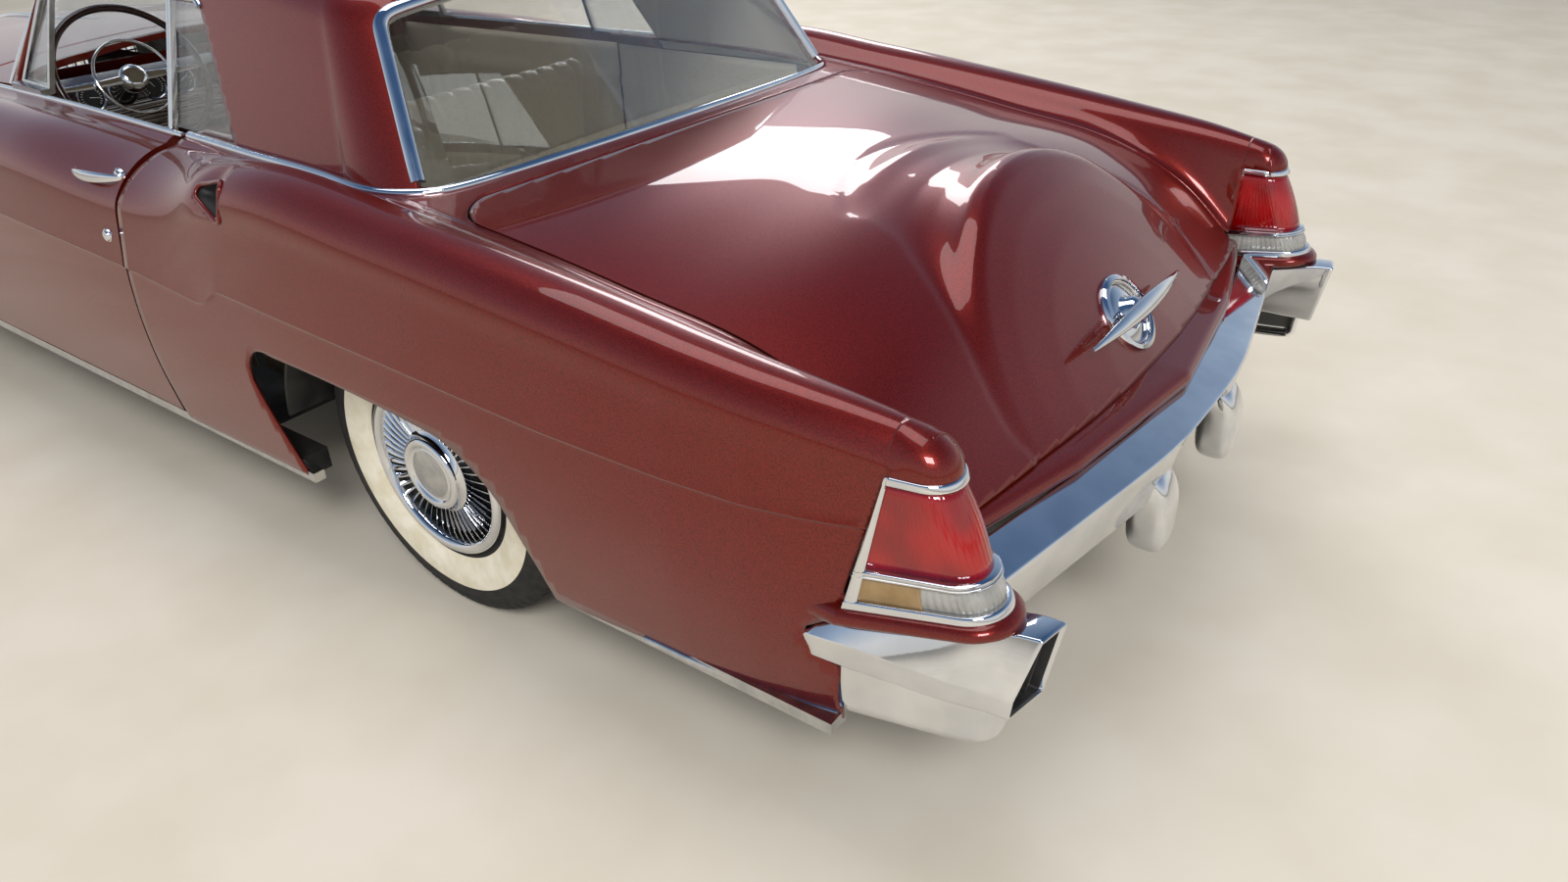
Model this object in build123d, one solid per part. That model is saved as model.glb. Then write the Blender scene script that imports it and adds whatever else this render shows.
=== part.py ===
"""Two-door hardtop of the mid 1950s with a spare-wheel hump in its boot lid.

Millimetres. +X is forward, +Y is the car's left and +Z is up. The origin is on
the ground, under the middle of the car's length and width.
"""
from build123d import *
from functools import cache
from math import cos, radians, sin, sqrt
import os

# Driving sizes
half_width = 985            # widest point of the body, at the doors
wheelbase = 3200
rear_axle_x = -1365
front_axle_x = rear_axle_x + wheelbase
front_track = 1486
rear_track = 1524
axle_z = 360                # wheel centres above the ground
skin = 25                   # thickness of a body panel with its flanges
shut_gap = 6                # gap round a door or lid
seat_gap = 0.3              # gap between curved faces that seat on each other

# Shut lines
door_front_x = 867
door_rear_x = -490
door_bottom_z = 300
door_inner_front_y = 682    # door's inner face, at its front end
door_inner_rear_y = 742
hood_rear_x = 935
hood_front_x = 2700
hood_lip_z = 748
hood_half_front = 640
hood_half_rear = 722
lid_half = 745
lid_front_centre_x = -1520
lid_front_corner_x = -1440
lid_bottom_z = 600
quarter_seam_x = -1288

# Hinge seats, which fill the shut gap just under the skin
DOOR_HINGES = (470, 740)    # heights
HOOD_HINGES = (400, 480)    # reach across the car, from the middle
LID_HINGES = (540, 620)

# Body sections. Columns: x, then inset from the half width and height of the bottom
# edge, the widest point, the shoulder, the crest, the inner shoulder and the valley
# beside the hood or deck, then the height on the centre line.
NOSE = [
    (2640, 150, 430, 88, 570, 98, 725, 160, 822, 250, 784, 290, 750, 790),
    (2560, 110, 380, 60, 565, 72, 752, 142, 858, 232, 815, 276, 798, 852),
    (2420, 80, 320, 38, 570, 50, 790, 120, 892, 220, 848, 266, 838, 892),
]
FORWARD = [
    (2420, 80, 320, 38, 570, 50, 790, 120, 892, 220, 848, 266, 838, 892),
    (1835, 48, 280, 12, 600, 28, 836, 112, 928, 220, 892, 264, 882, 942),
    (1000, 35, 270, 1, 620, 24, 850, 100, 932, 216, 925, 246, 918, 984),
    (100, 35, 270, 0, 620, 25, 850, 96, 930, 214, 942, 240, 944, 998),
    (-760, 35, 270, 0, 620, 25, 850, 85, 930, 185, 944, 205, 946, 985),
]
HIP = [
    (-760, 35, 270, 0, 620, 25, 850, 85, 930, 185, 944, 205, 946, 985),
    (-880, 35, 270, 0, 620, 19, 865, 90, 972, 173, 955, 195, 946, 980),
    (-1000, 35, 270, 0, 620, 17, 880, 95, 990, 170, 962, 193, 946, 975),
]
REAR = [
    (-1000, 35, 270, 0, 620, 17, 880, 95, 990, 170, 962, 193, 946, 975),
    (-1450, 37, 270, 1, 615, 20, 860, 100, 965, 175, 935, 205, 915, 960),
    (-1900, 41, 270, 5, 610, 27, 820, 105, 920, 180, 885, 212, 860, 940),
    (-2250, 47, 272, 13, 600, 35, 785, 110, 878, 182, 830, 216, 795, 888),
]
TAIL = [
    (-2250, 47, 272, 13, 600, 35, 785, 110, 878, 182, 830, 216, 795, 888),
    (-2430, 52, 276, 22, 590, 42, 765, 114, 856, 184, 800, 214, 705, 790),
    (-2530, 56, 280, 30, 585, 48, 745, 117, 838, 186, 780, 210, 610, 665),
    (-2715, 70, 285, 50, 560, 65, 700, 122, 790, 186, 730, 200, 470, 520),
]

# Tail of the rear fender, with its lamp
tail_tip_x = -2700          # rearmost point of the fender, at the foot of the lamp
tail_slant = 0.446          # how far the tail leans forward for each mm of height
tail_outer_inset = 50
tail_inner_y = 797
lamp_foot_z = 577
lamp_top_z = 772
lamp_front_x = -2474
lamp_wall = 9
lamp_divider_z = 630

# Spare-wheel hump
hump_x, hump_z = -2573, 577  # centre of the rim
hump_tilt = 36              # lean of the disc from the upright, in degrees
hump_radius = 500
hump_dome = 40
hump_flare = 115            # how much wider its foot is than its rim
hump_depth = 235
hump_bottom_z = 560
tail_end_x = -2690

# Greenhouse: plan outlines at the belt and at the crown of the roof
belt_z = 930
crown_z = 1430
crown_x = -330
crown_radius_long = 6500
crown_radius_across = 1900
roof_wall = 32
glass_wall = 6
glass_inset = 9
# Columns: x and half breadth at the belt, then at crown_z, from the front centre back
GLASSHOUSE = [
    (850, 0, 385, 0),
    (790, 420, 345, 340),
    (728, 600, 318, 470),
    (600, 690, 250, 530),
    (-260, 733, -400, 590),
    (-1125, 760, -960, 604),
    (-1290, 738, -1010, 580),
    (-1360, 668, -1040, 530),
    (-1450, 0, -1110, 0),
]

# Window lines in side view, points (x, z)
pillar_foot_front, pillar_foot_rear = 616, 566
pillar_top_front, pillar_top_rear = 448, 398
window_top_z = 1240
vent_strip_x = 322
vent_rim = 16
vent_foot_z = 968
quarter_strip_x = -395
c_pillar_foot_x, c_pillar_top_x = -699, -534
back_foot_x, back_top_x = -1318, -1145
header_front_z = 1318

# Wheels
tyre_radius = 360
tyre_width = 205
bead_radius = 190
rim_width = 152
rim_flange = 3
hub_radius = 62
drum_radius = 145
drum_width = 46
cover_radius = 204
cover_lip = 98              # cover's outer ring, out from the wheel's middle plane
cover_wall = 4
cap_radius = 84
vane_count = 48
vane_inner_radius = 98
vane_outer_radius = 176
vane_slot = 5.5
spindle_radius = 20
kingpin_y = 630
well_radius = 402
well_inner_y = 620
well_outer_y = 938

# Wheel openings. Arcs, each by its middle and end point, as offsets from the wheel
# centre in side view, from the lower front corner over the top to the rear.
REAR_ARCH_START = (320, -160)
REAR_ARCH = [
    ((400, 66), (428, 166)),
    ((398, 226), (307, 248)),
    ((50, 242), (-200, 222)),
    ((-330, 162), (-400, 50)),
    ((-432, -30), (-462, -160)),
]
FRONT_ARCH_START = (438, -160)
FRONT_ARCH = [
    ((424, 30), (398, 180)),
    ((345, 288), (220, 332)),
    ((0, 344), (-240, 334)),
    ((-362, 298), (-410, 190)),
    ((-428, 40), (-430, -160)),
]

# Lower body
floor_z = 286
floor_wall = 8
skirt_z = 292
tow_eye_radius = 12.5
tow_eye_x, tow_eye_z = -2520, 370
strip_z = 268
strip_outer_inset = 33
rail_inner_y, rail_outer_y = 365, 435
rail_height = 100
side_member_y = 860
boot_floor_z = 440
kick_floor_z = 560
firewall_x = 845
tunnel_half = 135
tunnel_z = 400

# Front end
lamp_y, lamp_z = 786, 700
lamp_radius = 90
bezel_radius = 108
grille_half = 640
grille_bottom_z, grille_top_z = 552, 742
grille_lap = 18             # how far its surround reaches behind the fenders
grille_depth = 40
grille_columns, grille_rows = 31, 5
grille_bar = 7
bumper_low_z, bumper_top_z = 415, 548

# Rear bumper
pod_tip_x, pod_end_x = -2395, -2775
pod_inner_y = 800
pod_ridge_y, pod_ridge_z = 950, 460
pod_crown_y = 878
pod_top_z = 560
pod_skirt_front_x, pod_skirt_end_x = -2456, -2742
pod_skirt_low_z = 315
bar_low_z = 430
bar_face_x = -2740
plate_bolt_spacing = 178
plate_bolt_radius = 3.5
plate_bolt_z = 500

# Controls
steer_hub = (461, 400, 924)
steer_slope = 27            # lean of the column from the level, in degrees
steer_radius = 215
dial_radius, dial_z = 40, 868
DIALS = (208, 304, 400, 496)   # how far each dial is from the middle of the car


def mirrored(shape):
    """The same shape on the car's right side."""
    return mirror(shape, about=Plane.XZ)


def both(shape):
    """A shape and its mirror image, as one part."""
    return shape + mirrored(shape)


def block(x0, x1, y0, y1, z0, z1):
    """Box between two corners."""
    size = (abs(x1 - x0), abs(y1 - y0), abs(z1 - z0))
    return Pos((x0 + x1) / 2, (y0 + y1) / 2, (z0 + z1) / 2) * Box(*size)


def side_prism(points, y0, y1):
    """Outline in side view, points (x, z), carried from y0 to y1."""
    face = Face(Wire.make_polygon([(x, y0, z) for x, z in points], close=True))
    return extrude(face, amount=y1 - y0, dir=(0, 1, 0))


def plan_prism(points, z0, z1):
    """Outline from above, points (x, y), carried from z0 up to z1."""
    face = Face(Wire.make_polygon([(x, y, z0) for x, y in points], close=True))
    return extrude(face, amount=z1 - z0, dir=(0, 0, 1))


def front_prism(points, x0, x1):
    """Outline from the front, points (y, z), carried from x0 to x1."""
    face = Face(Wire.make_polygon([(x0, y, z) for y, z in points], close=True))
    return extrude(face, amount=x1 - x0, dir=(1, 0, 0))


def drum(radius, x, z, y0, y1):
    """Cylinder across the car, from y0 to y1."""
    return Pos(x, (y0 + y1) / 2, z) * Rot(90, 0, 0) * Cylinder(radius, abs(y1 - y0))


def drum_along(radius, x0, x1, y, z):
    """Cylinder along the car, from x0 to x1."""
    return Pos((x0 + x1) / 2, y, z) * Rot(0, 90, 0) * Cylinder(radius, abs(x1 - x0))


def rod(radius, start, end):
    """Round bar from one point to another."""
    start, end = Vector(*start), Vector(*end)
    plane = Plane(origin=start, z_dir=end - start)
    return extrude(plane * Circle(radius), amount=(end - start).length)


def rounded(shape, axis, radius):
    """The shape with its edges along one axis rounded."""
    return fillet(shape.edges().filter_by(axis), radius)


def section(row, wall):
    """Closed outline of the body at one x, drawn in by a wall."""
    x, bi, bz, mi, mz, si, sz, ei, ez, ii, iz, vi, vz, cz = row
    low = (half_width - bi - wall, bz - 2 * wall)
    wide = (half_width - mi - wall, mz)
    shoulder = (half_width - si - wall, sz - 0.3 * wall)
    crest = (half_width - ei - 0.2 * wall, ez - wall)
    inner = (half_width - ii + 0.3 * wall, iz - wall)
    valley = (half_width - vi + 0.3 * wall, vz - wall)
    at = lambda side, p: (x, side * p[0], p[1])
    edges = [Line(at(-1, low), at(1, low))]
    for side in (1, -1):
        edges += [
            ThreePointArc(at(side, low), at(side, wide), at(side, shoulder)),
            ThreePointArc(at(side, shoulder), at(side, crest), at(side, inner)),
            Line(at(side, inner), at(side, valley)),
        ]
    edges.append(ThreePointArc(at(1, valley), (x, 0, cz - wall), at(-1, valley)))
    return Face(Wire(edges))


def hump(wall):
    """Domed disc with a flaring foot, turned about the hump's leaning axis."""
    rim = hump_radius - wall
    top = -wall
    foot = hump_radius + hump_flare - wall
    profile = [
        ThreePointArc((0, top + hump_dome), (rim * 0.55, top + hump_dome * 0.72), (rim - 34, top + 3)),
        ThreePointArc((rim - 34, top + 3), (rim - 6, top - 10), (rim + 6, top - 40)),
        ThreePointArc((rim + 6, top - 40), (rim + 34, top - 130), (foot, top - hump_depth)),
        Line((foot, top - hump_depth), (0, top - hump_depth)),
        Line((0, top - hump_depth), (0, top + hump_dome)),
    ]
    tilt = radians(hump_tilt)
    lean = Plane(
        origin=(hump_x, 0, hump_z),
        x_dir=(sin(tilt), 0, cos(tilt)),
        z_dir=(0, -1, 0),
    )
    face = lean * make_face(Wire(profile))
    return revolve(face, Axis((hump_x, 0, hump_z), (-cos(tilt), 0, sin(tilt))))


def tail_outline(grow, z):
    """U-shaped plan of a fender's tail at one height, grown outwards."""
    lean = (z - lamp_foot_z) * tail_slant
    tip = tail_tip_x + lean - grow
    outer = half_width - tail_outer_inset + grow
    inner = tail_inner_y - grow
    middle = (outer + inner) / 2
    bend = tip + 0.42 * (outer - inner)
    return Face(Wire([
        Line((-2300, inner, z), (bend, inner, z)),
        ThreePointArc((bend, inner, z), (tip, middle, z), (bend, outer, z)),
        Line((bend, outer, z), (-2300, outer + 45, z)),
        Line((-2300, outer + 45, z), (-2300, inner, z)),
    ]))


def tail_form(grow, z0, z1):
    """The fender's tail between two heights, leaning with the lamp."""
    return loft([tail_outline(grow, z0), tail_outline(grow, z1)], ruled=True)


def lofted(rows, wall):
    """One stretch of the body as a solid, drawn in by a wall."""
    return loft([section(row, wall) for row in rows])


@cache
def front_form(wall):
    """The body ahead of the rear shut lines as one solid."""
    form = lofted(NOSE, wall) + lofted(FORWARD, wall)
    return form - block(NOSE[0][0] - wall, 3000, -1100, 1100, 0, 1200)


@cache
def rear_form(wall):
    """The body from the doors back as one solid, with the lamps' tails and the hump."""
    form = lofted(FORWARD, wall) + lofted(HIP, wall) + lofted(REAR, wall) + lofted(TAIL, wall)
    off_tail = block(-2400, -3000, tail_inner_y + wall, 1200, 100, 1100) - tail_form(-wall, 90, 1110)
    form -= both(off_tail)
    form -= block(tail_end_x + wall, -3000, -1200, 1200, 0, 1200)
    swell = hump(wall) & block(tail_end_x + wall, 0, -700, 700, hump_bottom_z - wall, 1100)
    return form + swell


@cache
def front_shell():
    return front_form(0) - front_form(skin)


@cache
def rear_shell():
    return rear_form(0) - rear_form(skin)


def roof_outline(inset, share):
    """Plan outline of the roof and windows, drawn in by an inset, at a share of the
    way from the belt to the crown."""
    z = belt_z + (crown_z - belt_z) * share
    rows = []
    for foot_x, foot_y, top_x, top_y in GLASSHOUSE:
        x = foot_x + (top_x - foot_x) * share
        y = foot_y + (top_y - foot_y) * share
        # front and rear faces move along the car, side faces across it
        lengthwise = 1 if foot_y < 600 else 0.45
        x -= inset * lengthwise * (1 if foot_x > crown_x else -1)
        rows.append((x, max(y - inset, 0)))
    at = lambda i, side: (rows[i][0], side * rows[i][1], z)
    edges = [
        ThreePointArc(at(1, -1), at(0, 1), at(1, 1)),
        ThreePointArc(at(7, 1), at(8, 1), at(7, -1)),
    ]
    for side in (1, -1):
        for first in (1, 3, 5):
            edges.append(ThreePointArc(at(first, side), at(first + 1, side), at(first + 2, side)))
    return Face(Wire(edges))


@cache
def roof_form(inset, low=0.0):
    """Roof and windows as one solid: plan outlines lofted, under a crowned top."""
    walls = loft([roof_outline(inset, low), roof_outline(inset, 1.06)], ruled=True)
    top = crown_z - inset
    reach = 900
    dip = crown_radius_across - sqrt(crown_radius_across ** 2 - reach ** 2)
    base = belt_z - 300
    crown = Face(Wire([
        Line((crown_x, -reach, base), (crown_x, reach, base)),
        Line((crown_x, reach, base), (crown_x, reach, top - dip)),
        ThreePointArc((crown_x, reach, top - dip), (crown_x, 0, top), (crown_x, -reach, top - dip)),
        Line((crown_x, -reach, top - dip), (crown_x, -reach, base)),
    ]))
    axle = Axis((crown_x, 0, crown_z - crown_radius_long), (0, 1, 0))
    swing = 14
    return walls & revolve(crown.rotate(axle, -swing), axle, 2 * swing)


def lid_plan(grow, z0, z1):
    """Outline of the boot lid from above, grown outwards."""
    front, corner, side = lid_front_centre_x + grow, lid_front_corner_x + grow, lid_half + grow
    face = Face(Wire([
        ThreePointArc((corner - 90, -side, z0), (corner - 22, -side + 24, z0), (corner, -side + 90, z0)),
        ThreePointArc((corner, -side + 90, z0), (front, 0, z0), (corner, side - 90, z0)),
        ThreePointArc((corner, side - 90, z0), (corner - 22, side - 24, z0), (corner - 90, side, z0)),
        Line((corner - 90, side, z0), (-2800, side, z0)),
        Line((-2800, side, z0), (-2800, -side, z0)),
        Line((-2800, -side, z0), (corner - 90, -side, z0)),
    ]))
    return extrude(face, amount=z1 - z0, dir=(0, 0, 1))


def hood_plan(grow, z0, z1):
    """Outline of the hood from above, grown outwards."""
    rear, front = hood_rear_x - grow, hood_front_x + grow
    wide, narrow = hood_half_rear + grow, hood_half_front + grow
    return plan_prism([(rear, -wide), (rear, wide), (front, narrow), (front, -narrow)], z0, z1)


def door_inner_y(x):
    """How far out the door's inner face is at one x."""
    share = (door_front_x - x) / (door_front_x - door_rear_x)
    return door_inner_front_y + (door_inner_rear_y - door_inner_front_y) * share


def door_plan(grow, z0, z1):
    """Outline of the left door from above. Its rear face leans forward inboard by
    depth squared over length, so that its inner corner swings clear."""
    front, rear = door_front_x + grow, door_rear_x - grow
    depth = half_width - door_inner_rear_y
    lean = depth ** 2 / (door_front_x - door_rear_x)
    return plan_prism([
        (front, half_width + 40),
        (front, door_inner_front_y - grow),
        (rear + lean, door_inner_rear_y - grow),
        (rear, half_width),
        (rear, half_width + 40),
    ], z0, z1)


def arch(x, start, arcs, y0, y1):
    """Wheel opening in side view, carried across the fender's skin."""
    at = lambda p: (x + p[0], y0, axle_z + p[1])
    edges, here = [], start
    for middle, end in arcs:
        edges.append(ThreePointArc(at(here), at(middle), at(end)))
        here = end
    edges.append(Line(at(here), at(start)))
    return extrude(Face(Wire(edges)), amount=y1 - y0, dir=(0, 1, 0))


def wheel_well(x, y0, y1, radius=well_radius):
    """Space that a wheel needs, with room for its springing."""
    return drum(radius, x, axle_z, y0, y1) + block(x - radius, x + radius, y0, y1, 100, axle_z)


# Body panels

def front_fender():
    """Left front fender, open round the wheel, with a bore for the headlamp."""
    panel = front_shell() & block(door_front_x + shut_gap, 2800, 0, 1100, skirt_z, 1100)
    panel -= hood_plan(shut_gap, 600, 1200)
    panel -= block(door_front_x, hood_rear_x + shut_gap, 0, hood_half_rear, 700, 1200)
    panel -= arch(front_axle_x, FRONT_ARCH_START, FRONT_ARCH, 500, 1100)
    panel -= block(2450, 2800, 0, grille_half, 100, hood_lip_z)
    panel -= drum_along(bezel_radius + seat_gap, 2400, 2800, lamp_y, lamp_z)
    for z in DOOR_HINGES:
        panel += block(door_front_x + seat_gap, door_front_x + shut_gap + 10, 962, 974, z - 30, z + 30)
    return panel - front_bumper()


def hood():
    """Hood skin, with its front lip."""
    return front_shell() & hood_plan(0, hood_lip_z, 1200)


def door():
    """Left door, as thick as the whole door, with its window lowered."""
    return lofted(FORWARD, 0) & door_plan(0, door_bottom_z, 1100)


def cabin_opening():
    """The opening through the body's top, under the roof's inner face."""
    return extrude(roof_outline(roof_wall, 0), amount=250, dir=(0, 0, -1)) + extrude(
        roof_outline(roof_wall, 0), amount=150, dir=(0, 0, 1))


def cowl():
    """Firewall, scuttle and the posts that carry the windscreen."""
    inner = door_inner_front_y - shut_gap
    edge = door_front_x + shut_gap
    front = hood_rear_x - shut_gap
    seat = block(front - 10, hood_rear_x - seat_gap, *HOOD_HINGES, 935, 955)
    top = front_shell() & plan_prism([
        (front, -hood_half_rear), (front, hood_half_rear), (edge, hood_half_rear),
        (edge, inner), (pillar_foot_rear, inner), (pillar_foot_rear, -inner),
        (edge, -inner), (edge, -hood_half_rear),
    ], 700, 1100)
    top -= cabin_opening()
    wall = block(firewall_x, firewall_x + 12, -inner, inner, floor_z, 920) - block(
        firewall_x - 1, firewall_x + 13, -tunnel_half, tunnel_half, 0, tunnel_z)
    post = block(pillar_foot_rear, firewall_x, inner - 50, inner, 872, 918)
    return top + wall + both(post + seat)


def lamp_cell(z0, z1, front, grow):
    """Slice of the left tail lamp between two heights, behind its leaning front edge."""
    lean = (z1 - z0) * 0.26
    start = lamp_front_x - front - (z0 - lamp_foot_z) * 0.26
    side = side_prism([(start, z0), (start - lean, z1), (-2800, z1), (-2800, z0)], tail_inner_y - 40, 1100)
    return lofted(TAIL, 0) & side & tail_form(grow, 500, 900)


def quarter_panel():
    """Left rear quarter: thick beside the rear seat, a skin from the wheel back."""
    panel = rear_shell() & block(-2800, door_rear_x + 100, 0, 1100, skirt_z, 1100)
    panel += rear_form(0) & block(
        rear_axle_x + 390, door_rear_x + 100, door_inner_rear_y, 1100, floor_z + floor_wall, 1100)
    panel -= cabin_opening()
    panel -= door_plan(shut_gap, 0, 1200)
    panel -= block(-2800, quarter_seam_x, 0, lid_half + shut_gap, 100, 1200)
    panel -= arch(rear_axle_x, REAR_ARCH_START, REAR_ARCH, 500, 1100)
    panel -= wheel_well(rear_axle_x, 500, well_outer_y)
    panel -= lamp_cell(lamp_foot_z, lamp_top_z, 0, 5)
    panel -= block(-2800, pod_skirt_front_x, 700, 1100, 0, pod_top_z)
    return panel - rear_bumper()


def deck_panel():
    """Panel between the rear window and the boot lid."""
    half = lid_half + shut_gap - seat_gap
    panel = rear_shell() & block(-1700, quarter_seam_x - seat_gap, -half, half, 750, 1100)
    panel -= cabin_opening()
    seat = block(-1480, lid_front_corner_x + 10, *LID_HINGES, 908, 928)
    return panel - lid_plan(shut_gap, 600, 1200) + both(seat) - lid_plan(seat_gap, 600, 1200)


def tail_panel():
    """Panel below the boot lid, with the ledge that meets the bumper."""
    top = lid_bottom_z - shut_gap
    half = lid_half + shut_gap - seat_gap
    panel = rear_shell() & block(-2800, -2300, -half, half, 300, top)
    ledge = extrude(Face(Wire([
        ThreePointArc((-2560, -lid_half, top - 26), (-2675, 0, top - 26), (-2560, lid_half, top - 26)),
        Line((-2560, lid_half, top - 26), (-2500, lid_half, top - 26)),
        ThreePointArc((-2500, lid_half, top - 26), (-2610, 0, top - 26), (-2500, -lid_half, top - 26)),
        Line((-2500, -lid_half, top - 26), (-2560, -lid_half, top - 26)),
    ])), amount=22, dir=(0, 0, 1))
    return panel + ledge - rear_bumper()


def boot_lid():
    """Boot lid with the spare-wheel hump in it."""
    return rear_shell() & lid_plan(0, lid_bottom_z, 1200)


# Roof and glass

def side_window(grow=0):
    """Side windows of both sides in side view, with rounded upper corners."""
    opening = side_prism([
        (pillar_foot_rear + grow, belt_z - 40), (pillar_top_rear + grow, window_top_z + grow),
        (c_pillar_top_x - grow, window_top_z + grow), (c_pillar_foot_x - grow, belt_z - 40),
    ], -1000, 1000)
    corners = [e for e in opening.edges().filter_by(Axis.Y) if e.center().Z > 1200]
    return fillet(corners, 28)


def windscreen_cut():
    """Windscreen opening in side view: everything ahead of the windscreen pillar."""
    return side_prism([
        (pillar_foot_front, belt_z - 40), (pillar_top_front, 1290), (640, header_front_z + 40),
        (1000, header_front_z + 40), (1000, belt_z - 40),
    ], -1000, 1000)


def back_window_cut():
    """Rear window opening in side view: everything behind the rear pillar."""
    return side_prism([
        (back_foot_x, belt_z - 40), (back_top_x, 1236), (back_top_x - 14, 1262),
        (-1216, 1318), (-1600, 1318), (-1600, belt_z - 40),
    ], -1000, 1000)


def roof():
    """Roof with its windscreen and rear pillars, standing on the body."""
    shell = roof_form(0, -0.1) - roof_form(roof_wall, -0.2)
    shell = shell - side_window() - windscreen_cut() - back_window_cut()
    return shell - front_form(0) - rear_form(0)


def glass(opening):
    """Glass that fills an opening of the roof."""
    sheet = roof_form(glass_inset, -0.1) - roof_form(glass_inset + glass_wall, -0.2)
    return (sheet & opening) - front_form(0) - rear_form(0)


def windscreen():
    return glass(windscreen_cut())


def back_window():
    return glass(back_window_cut())


def quarter_glass():
    """Fixed glass of both sides between the door and the rear pillar."""
    behind_door = block(-900, quarter_strip_x, -1000, 1000, 900, 1300)
    return glass(side_window() & behind_door)


def vent_opening(inset, foot):
    """Left vent window in side view, drawn in from the side window's outline."""
    ahead = block(vent_strip_x + inset - 8, 700, 500, 900, foot, 1300)
    return side_window(-inset) & ahead


def vent_frame():
    """Frame of the left vent window on the door, with its pillar strip."""
    band = roof_form(0) - roof_form(14)
    rim = vent_opening(8, belt_z) - vent_opening(8 + vent_rim, vent_foot_z)
    foot = plan_prism([
        (vent_strip_x, door_inner_y(vent_strip_x) - 22), (vent_strip_x, door_inner_y(vent_strip_x) + 14),
        (525, door_inner_y(525) + 14), (525, door_inner_y(525) - 22),
    ], 930, vent_foot_z - 6)
    return (band & rim) + foot - lofted(FORWARD, 0)


def vent_glass():
    """Glass of the left vent window."""
    band = roof_form(4) - roof_form(4 + glass_wall)
    return band & vent_opening(8 + vent_rim, vent_foot_z)


# Brightwork and lamps

def front_bumper():
    """Wrap-round bar with two bullet guards."""
    outer = [(2300, 972), (2500, 966), (2625, 905), (2688, 560), (2704, 0)]
    inner = [(2300, 942), (2490, 932), (2580, 870), (2643, 560), (2655, 0)]
    ring = outer + [(x, -y) for x, y in outer[-2::-1]]
    ring += [(x, -y) for x, y in inner] + inner[-2::-1]
    bar = plan_prism(ring, bumper_low_z, bumper_top_z)
    tip = 2775
    profile = make_face(Wire([
        Line((2648, 0), (tip, 0)),
        ThreePointArc((tip, 0), (2750, 50), (2690, 72)),
        Line((2690, 72), (2648, 76)),
        Line((2648, 76), (2648, 0)),
    ]))
    bullet = revolve(profile, Axis.X).move(Location((0, 430, 482)))
    iron = block(2520, 2660, rail_inner_y + 10, rail_outer_y - 10, 430, 470)
    hanger = block(2520, 2545, rail_inner_y + 10, rail_outer_y - 10, 340, 470)
    return bar + both(bullet) + both(iron + hanger)


def rear_bumper():
    """Centre bar with two guards, and a pod round each exhaust port."""
    outer = [(-2640, pod_inner_y + 20), (bar_face_x, 200), (bar_face_x, -200), (-2640, -pod_inner_y - 20)]
    inner = [(-2560, -pod_inner_y - 20), (-2625, -422), (-2678, 0), (-2625, 422), (-2560, pod_inner_y + 20)]
    bar = plan_prism(outer + inner, bar_low_z, pod_top_z)
    top = [e for e in bar.edges() if e.center().Z > pod_top_z - 1 and e.center().X < -2680]
    bar = fillet(top, 22)
    ring = [
        (pod_inner_y, pod_top_z), (pod_crown_y, pod_top_z - 4), (pod_ridge_y, pod_ridge_z),
        (pod_ridge_y - 12, pod_ridge_z - 26), (pod_inner_y, bar_low_z),
    ]
    blade = front_prism(ring, pod_end_x, pod_tip_x)
    blade -= plan_prism([(pod_tip_x, 850), (pod_tip_x + 9, 1000), (pod_tip_x - 60, 1000)], 300, 700)
    blade -= block(-2440, -2300, 700, 915, 300, 700)
    skirt = front_prism([
        (pod_inner_y, bar_low_z), (pod_ridge_y - 14, bar_low_z + 6),
        (pod_ridge_y - 22, pod_skirt_low_z), (pod_inner_y + 20, pod_skirt_low_z),
    ], pod_skirt_end_x, pod_skirt_front_x)
    port_ring = [(822, 452), (922, 452), (914, 476), (872, 538), (822, 538)]
    port = front_prism(port_ring, pod_end_x - 5, -2430)
    pod = blade + skirt - port
    for y in (847, 872, 897):
        pod += block(pod_end_x + 14, pod_end_x + 152, y - 2, y + 2, 450, 540) & front_prism(
            ring, pod_end_x, pod_tip_x)
    guard = rounded(block(-2768, -2690, 165, 251, 312, 556), Axis.Z, 30)
    iron = block(-2690, -2560, rail_inner_y + 5, rail_outer_y - 5, 350, 440)
    bolt_hole = drum_along(plate_bolt_radius, bar_face_x - 10, bar_face_x + 40, plate_bolt_spacing / 2, plate_bolt_z)
    return bar + both(pod + guard + iron) - both(bolt_hole)


def grille():
    """Egg-crate grille in its surround."""
    width, height = 2 * (grille_half + grille_lap), grille_top_z - grille_bottom_z
    back = NOSE[0][0] - skin - seat_gap - grille_depth
    wide = (width - 2 * grille_lap - 28) / grille_columns - grille_bar
    high = (height - 36) / grille_rows - grille_bar
    cells = GridLocations(wide + grille_bar, high + grille_bar, grille_columns, grille_rows)
    sketch = Rectangle(width, height) - cells * Rectangle(wide, high)
    middle = (grille_top_z + grille_bottom_z) / 2
    plane = Plane(origin=(back, 0, middle), x_dir=(0, 1, 0), z_dir=(1, 0, 0))
    return extrude(plane * sketch, amount=grille_depth)


def headlamps():
    """Sealed lamps in their rings."""
    x = NOSE[0][0]
    dome = make_face(Wire([
        Line((x - 60, 0), (x + 8, 0)),
        ThreePointArc((x + 8, 0), (x + 4, lamp_radius * 0.55), (x - 4, lamp_radius)),
        ThreePointArc((x - 4, lamp_radius), (x + 8, lamp_radius + 9), (x - 2, bezel_radius)),
        Line((x - 2, bezel_radius), (x - 60, bezel_radius)),
        Line((x - 60, bezel_radius), (x - 60, 0)),
    ]))
    lamp = revolve(dome, Axis.X).move(Location((0, lamp_y, lamp_z)))
    return both(lamp)


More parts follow.
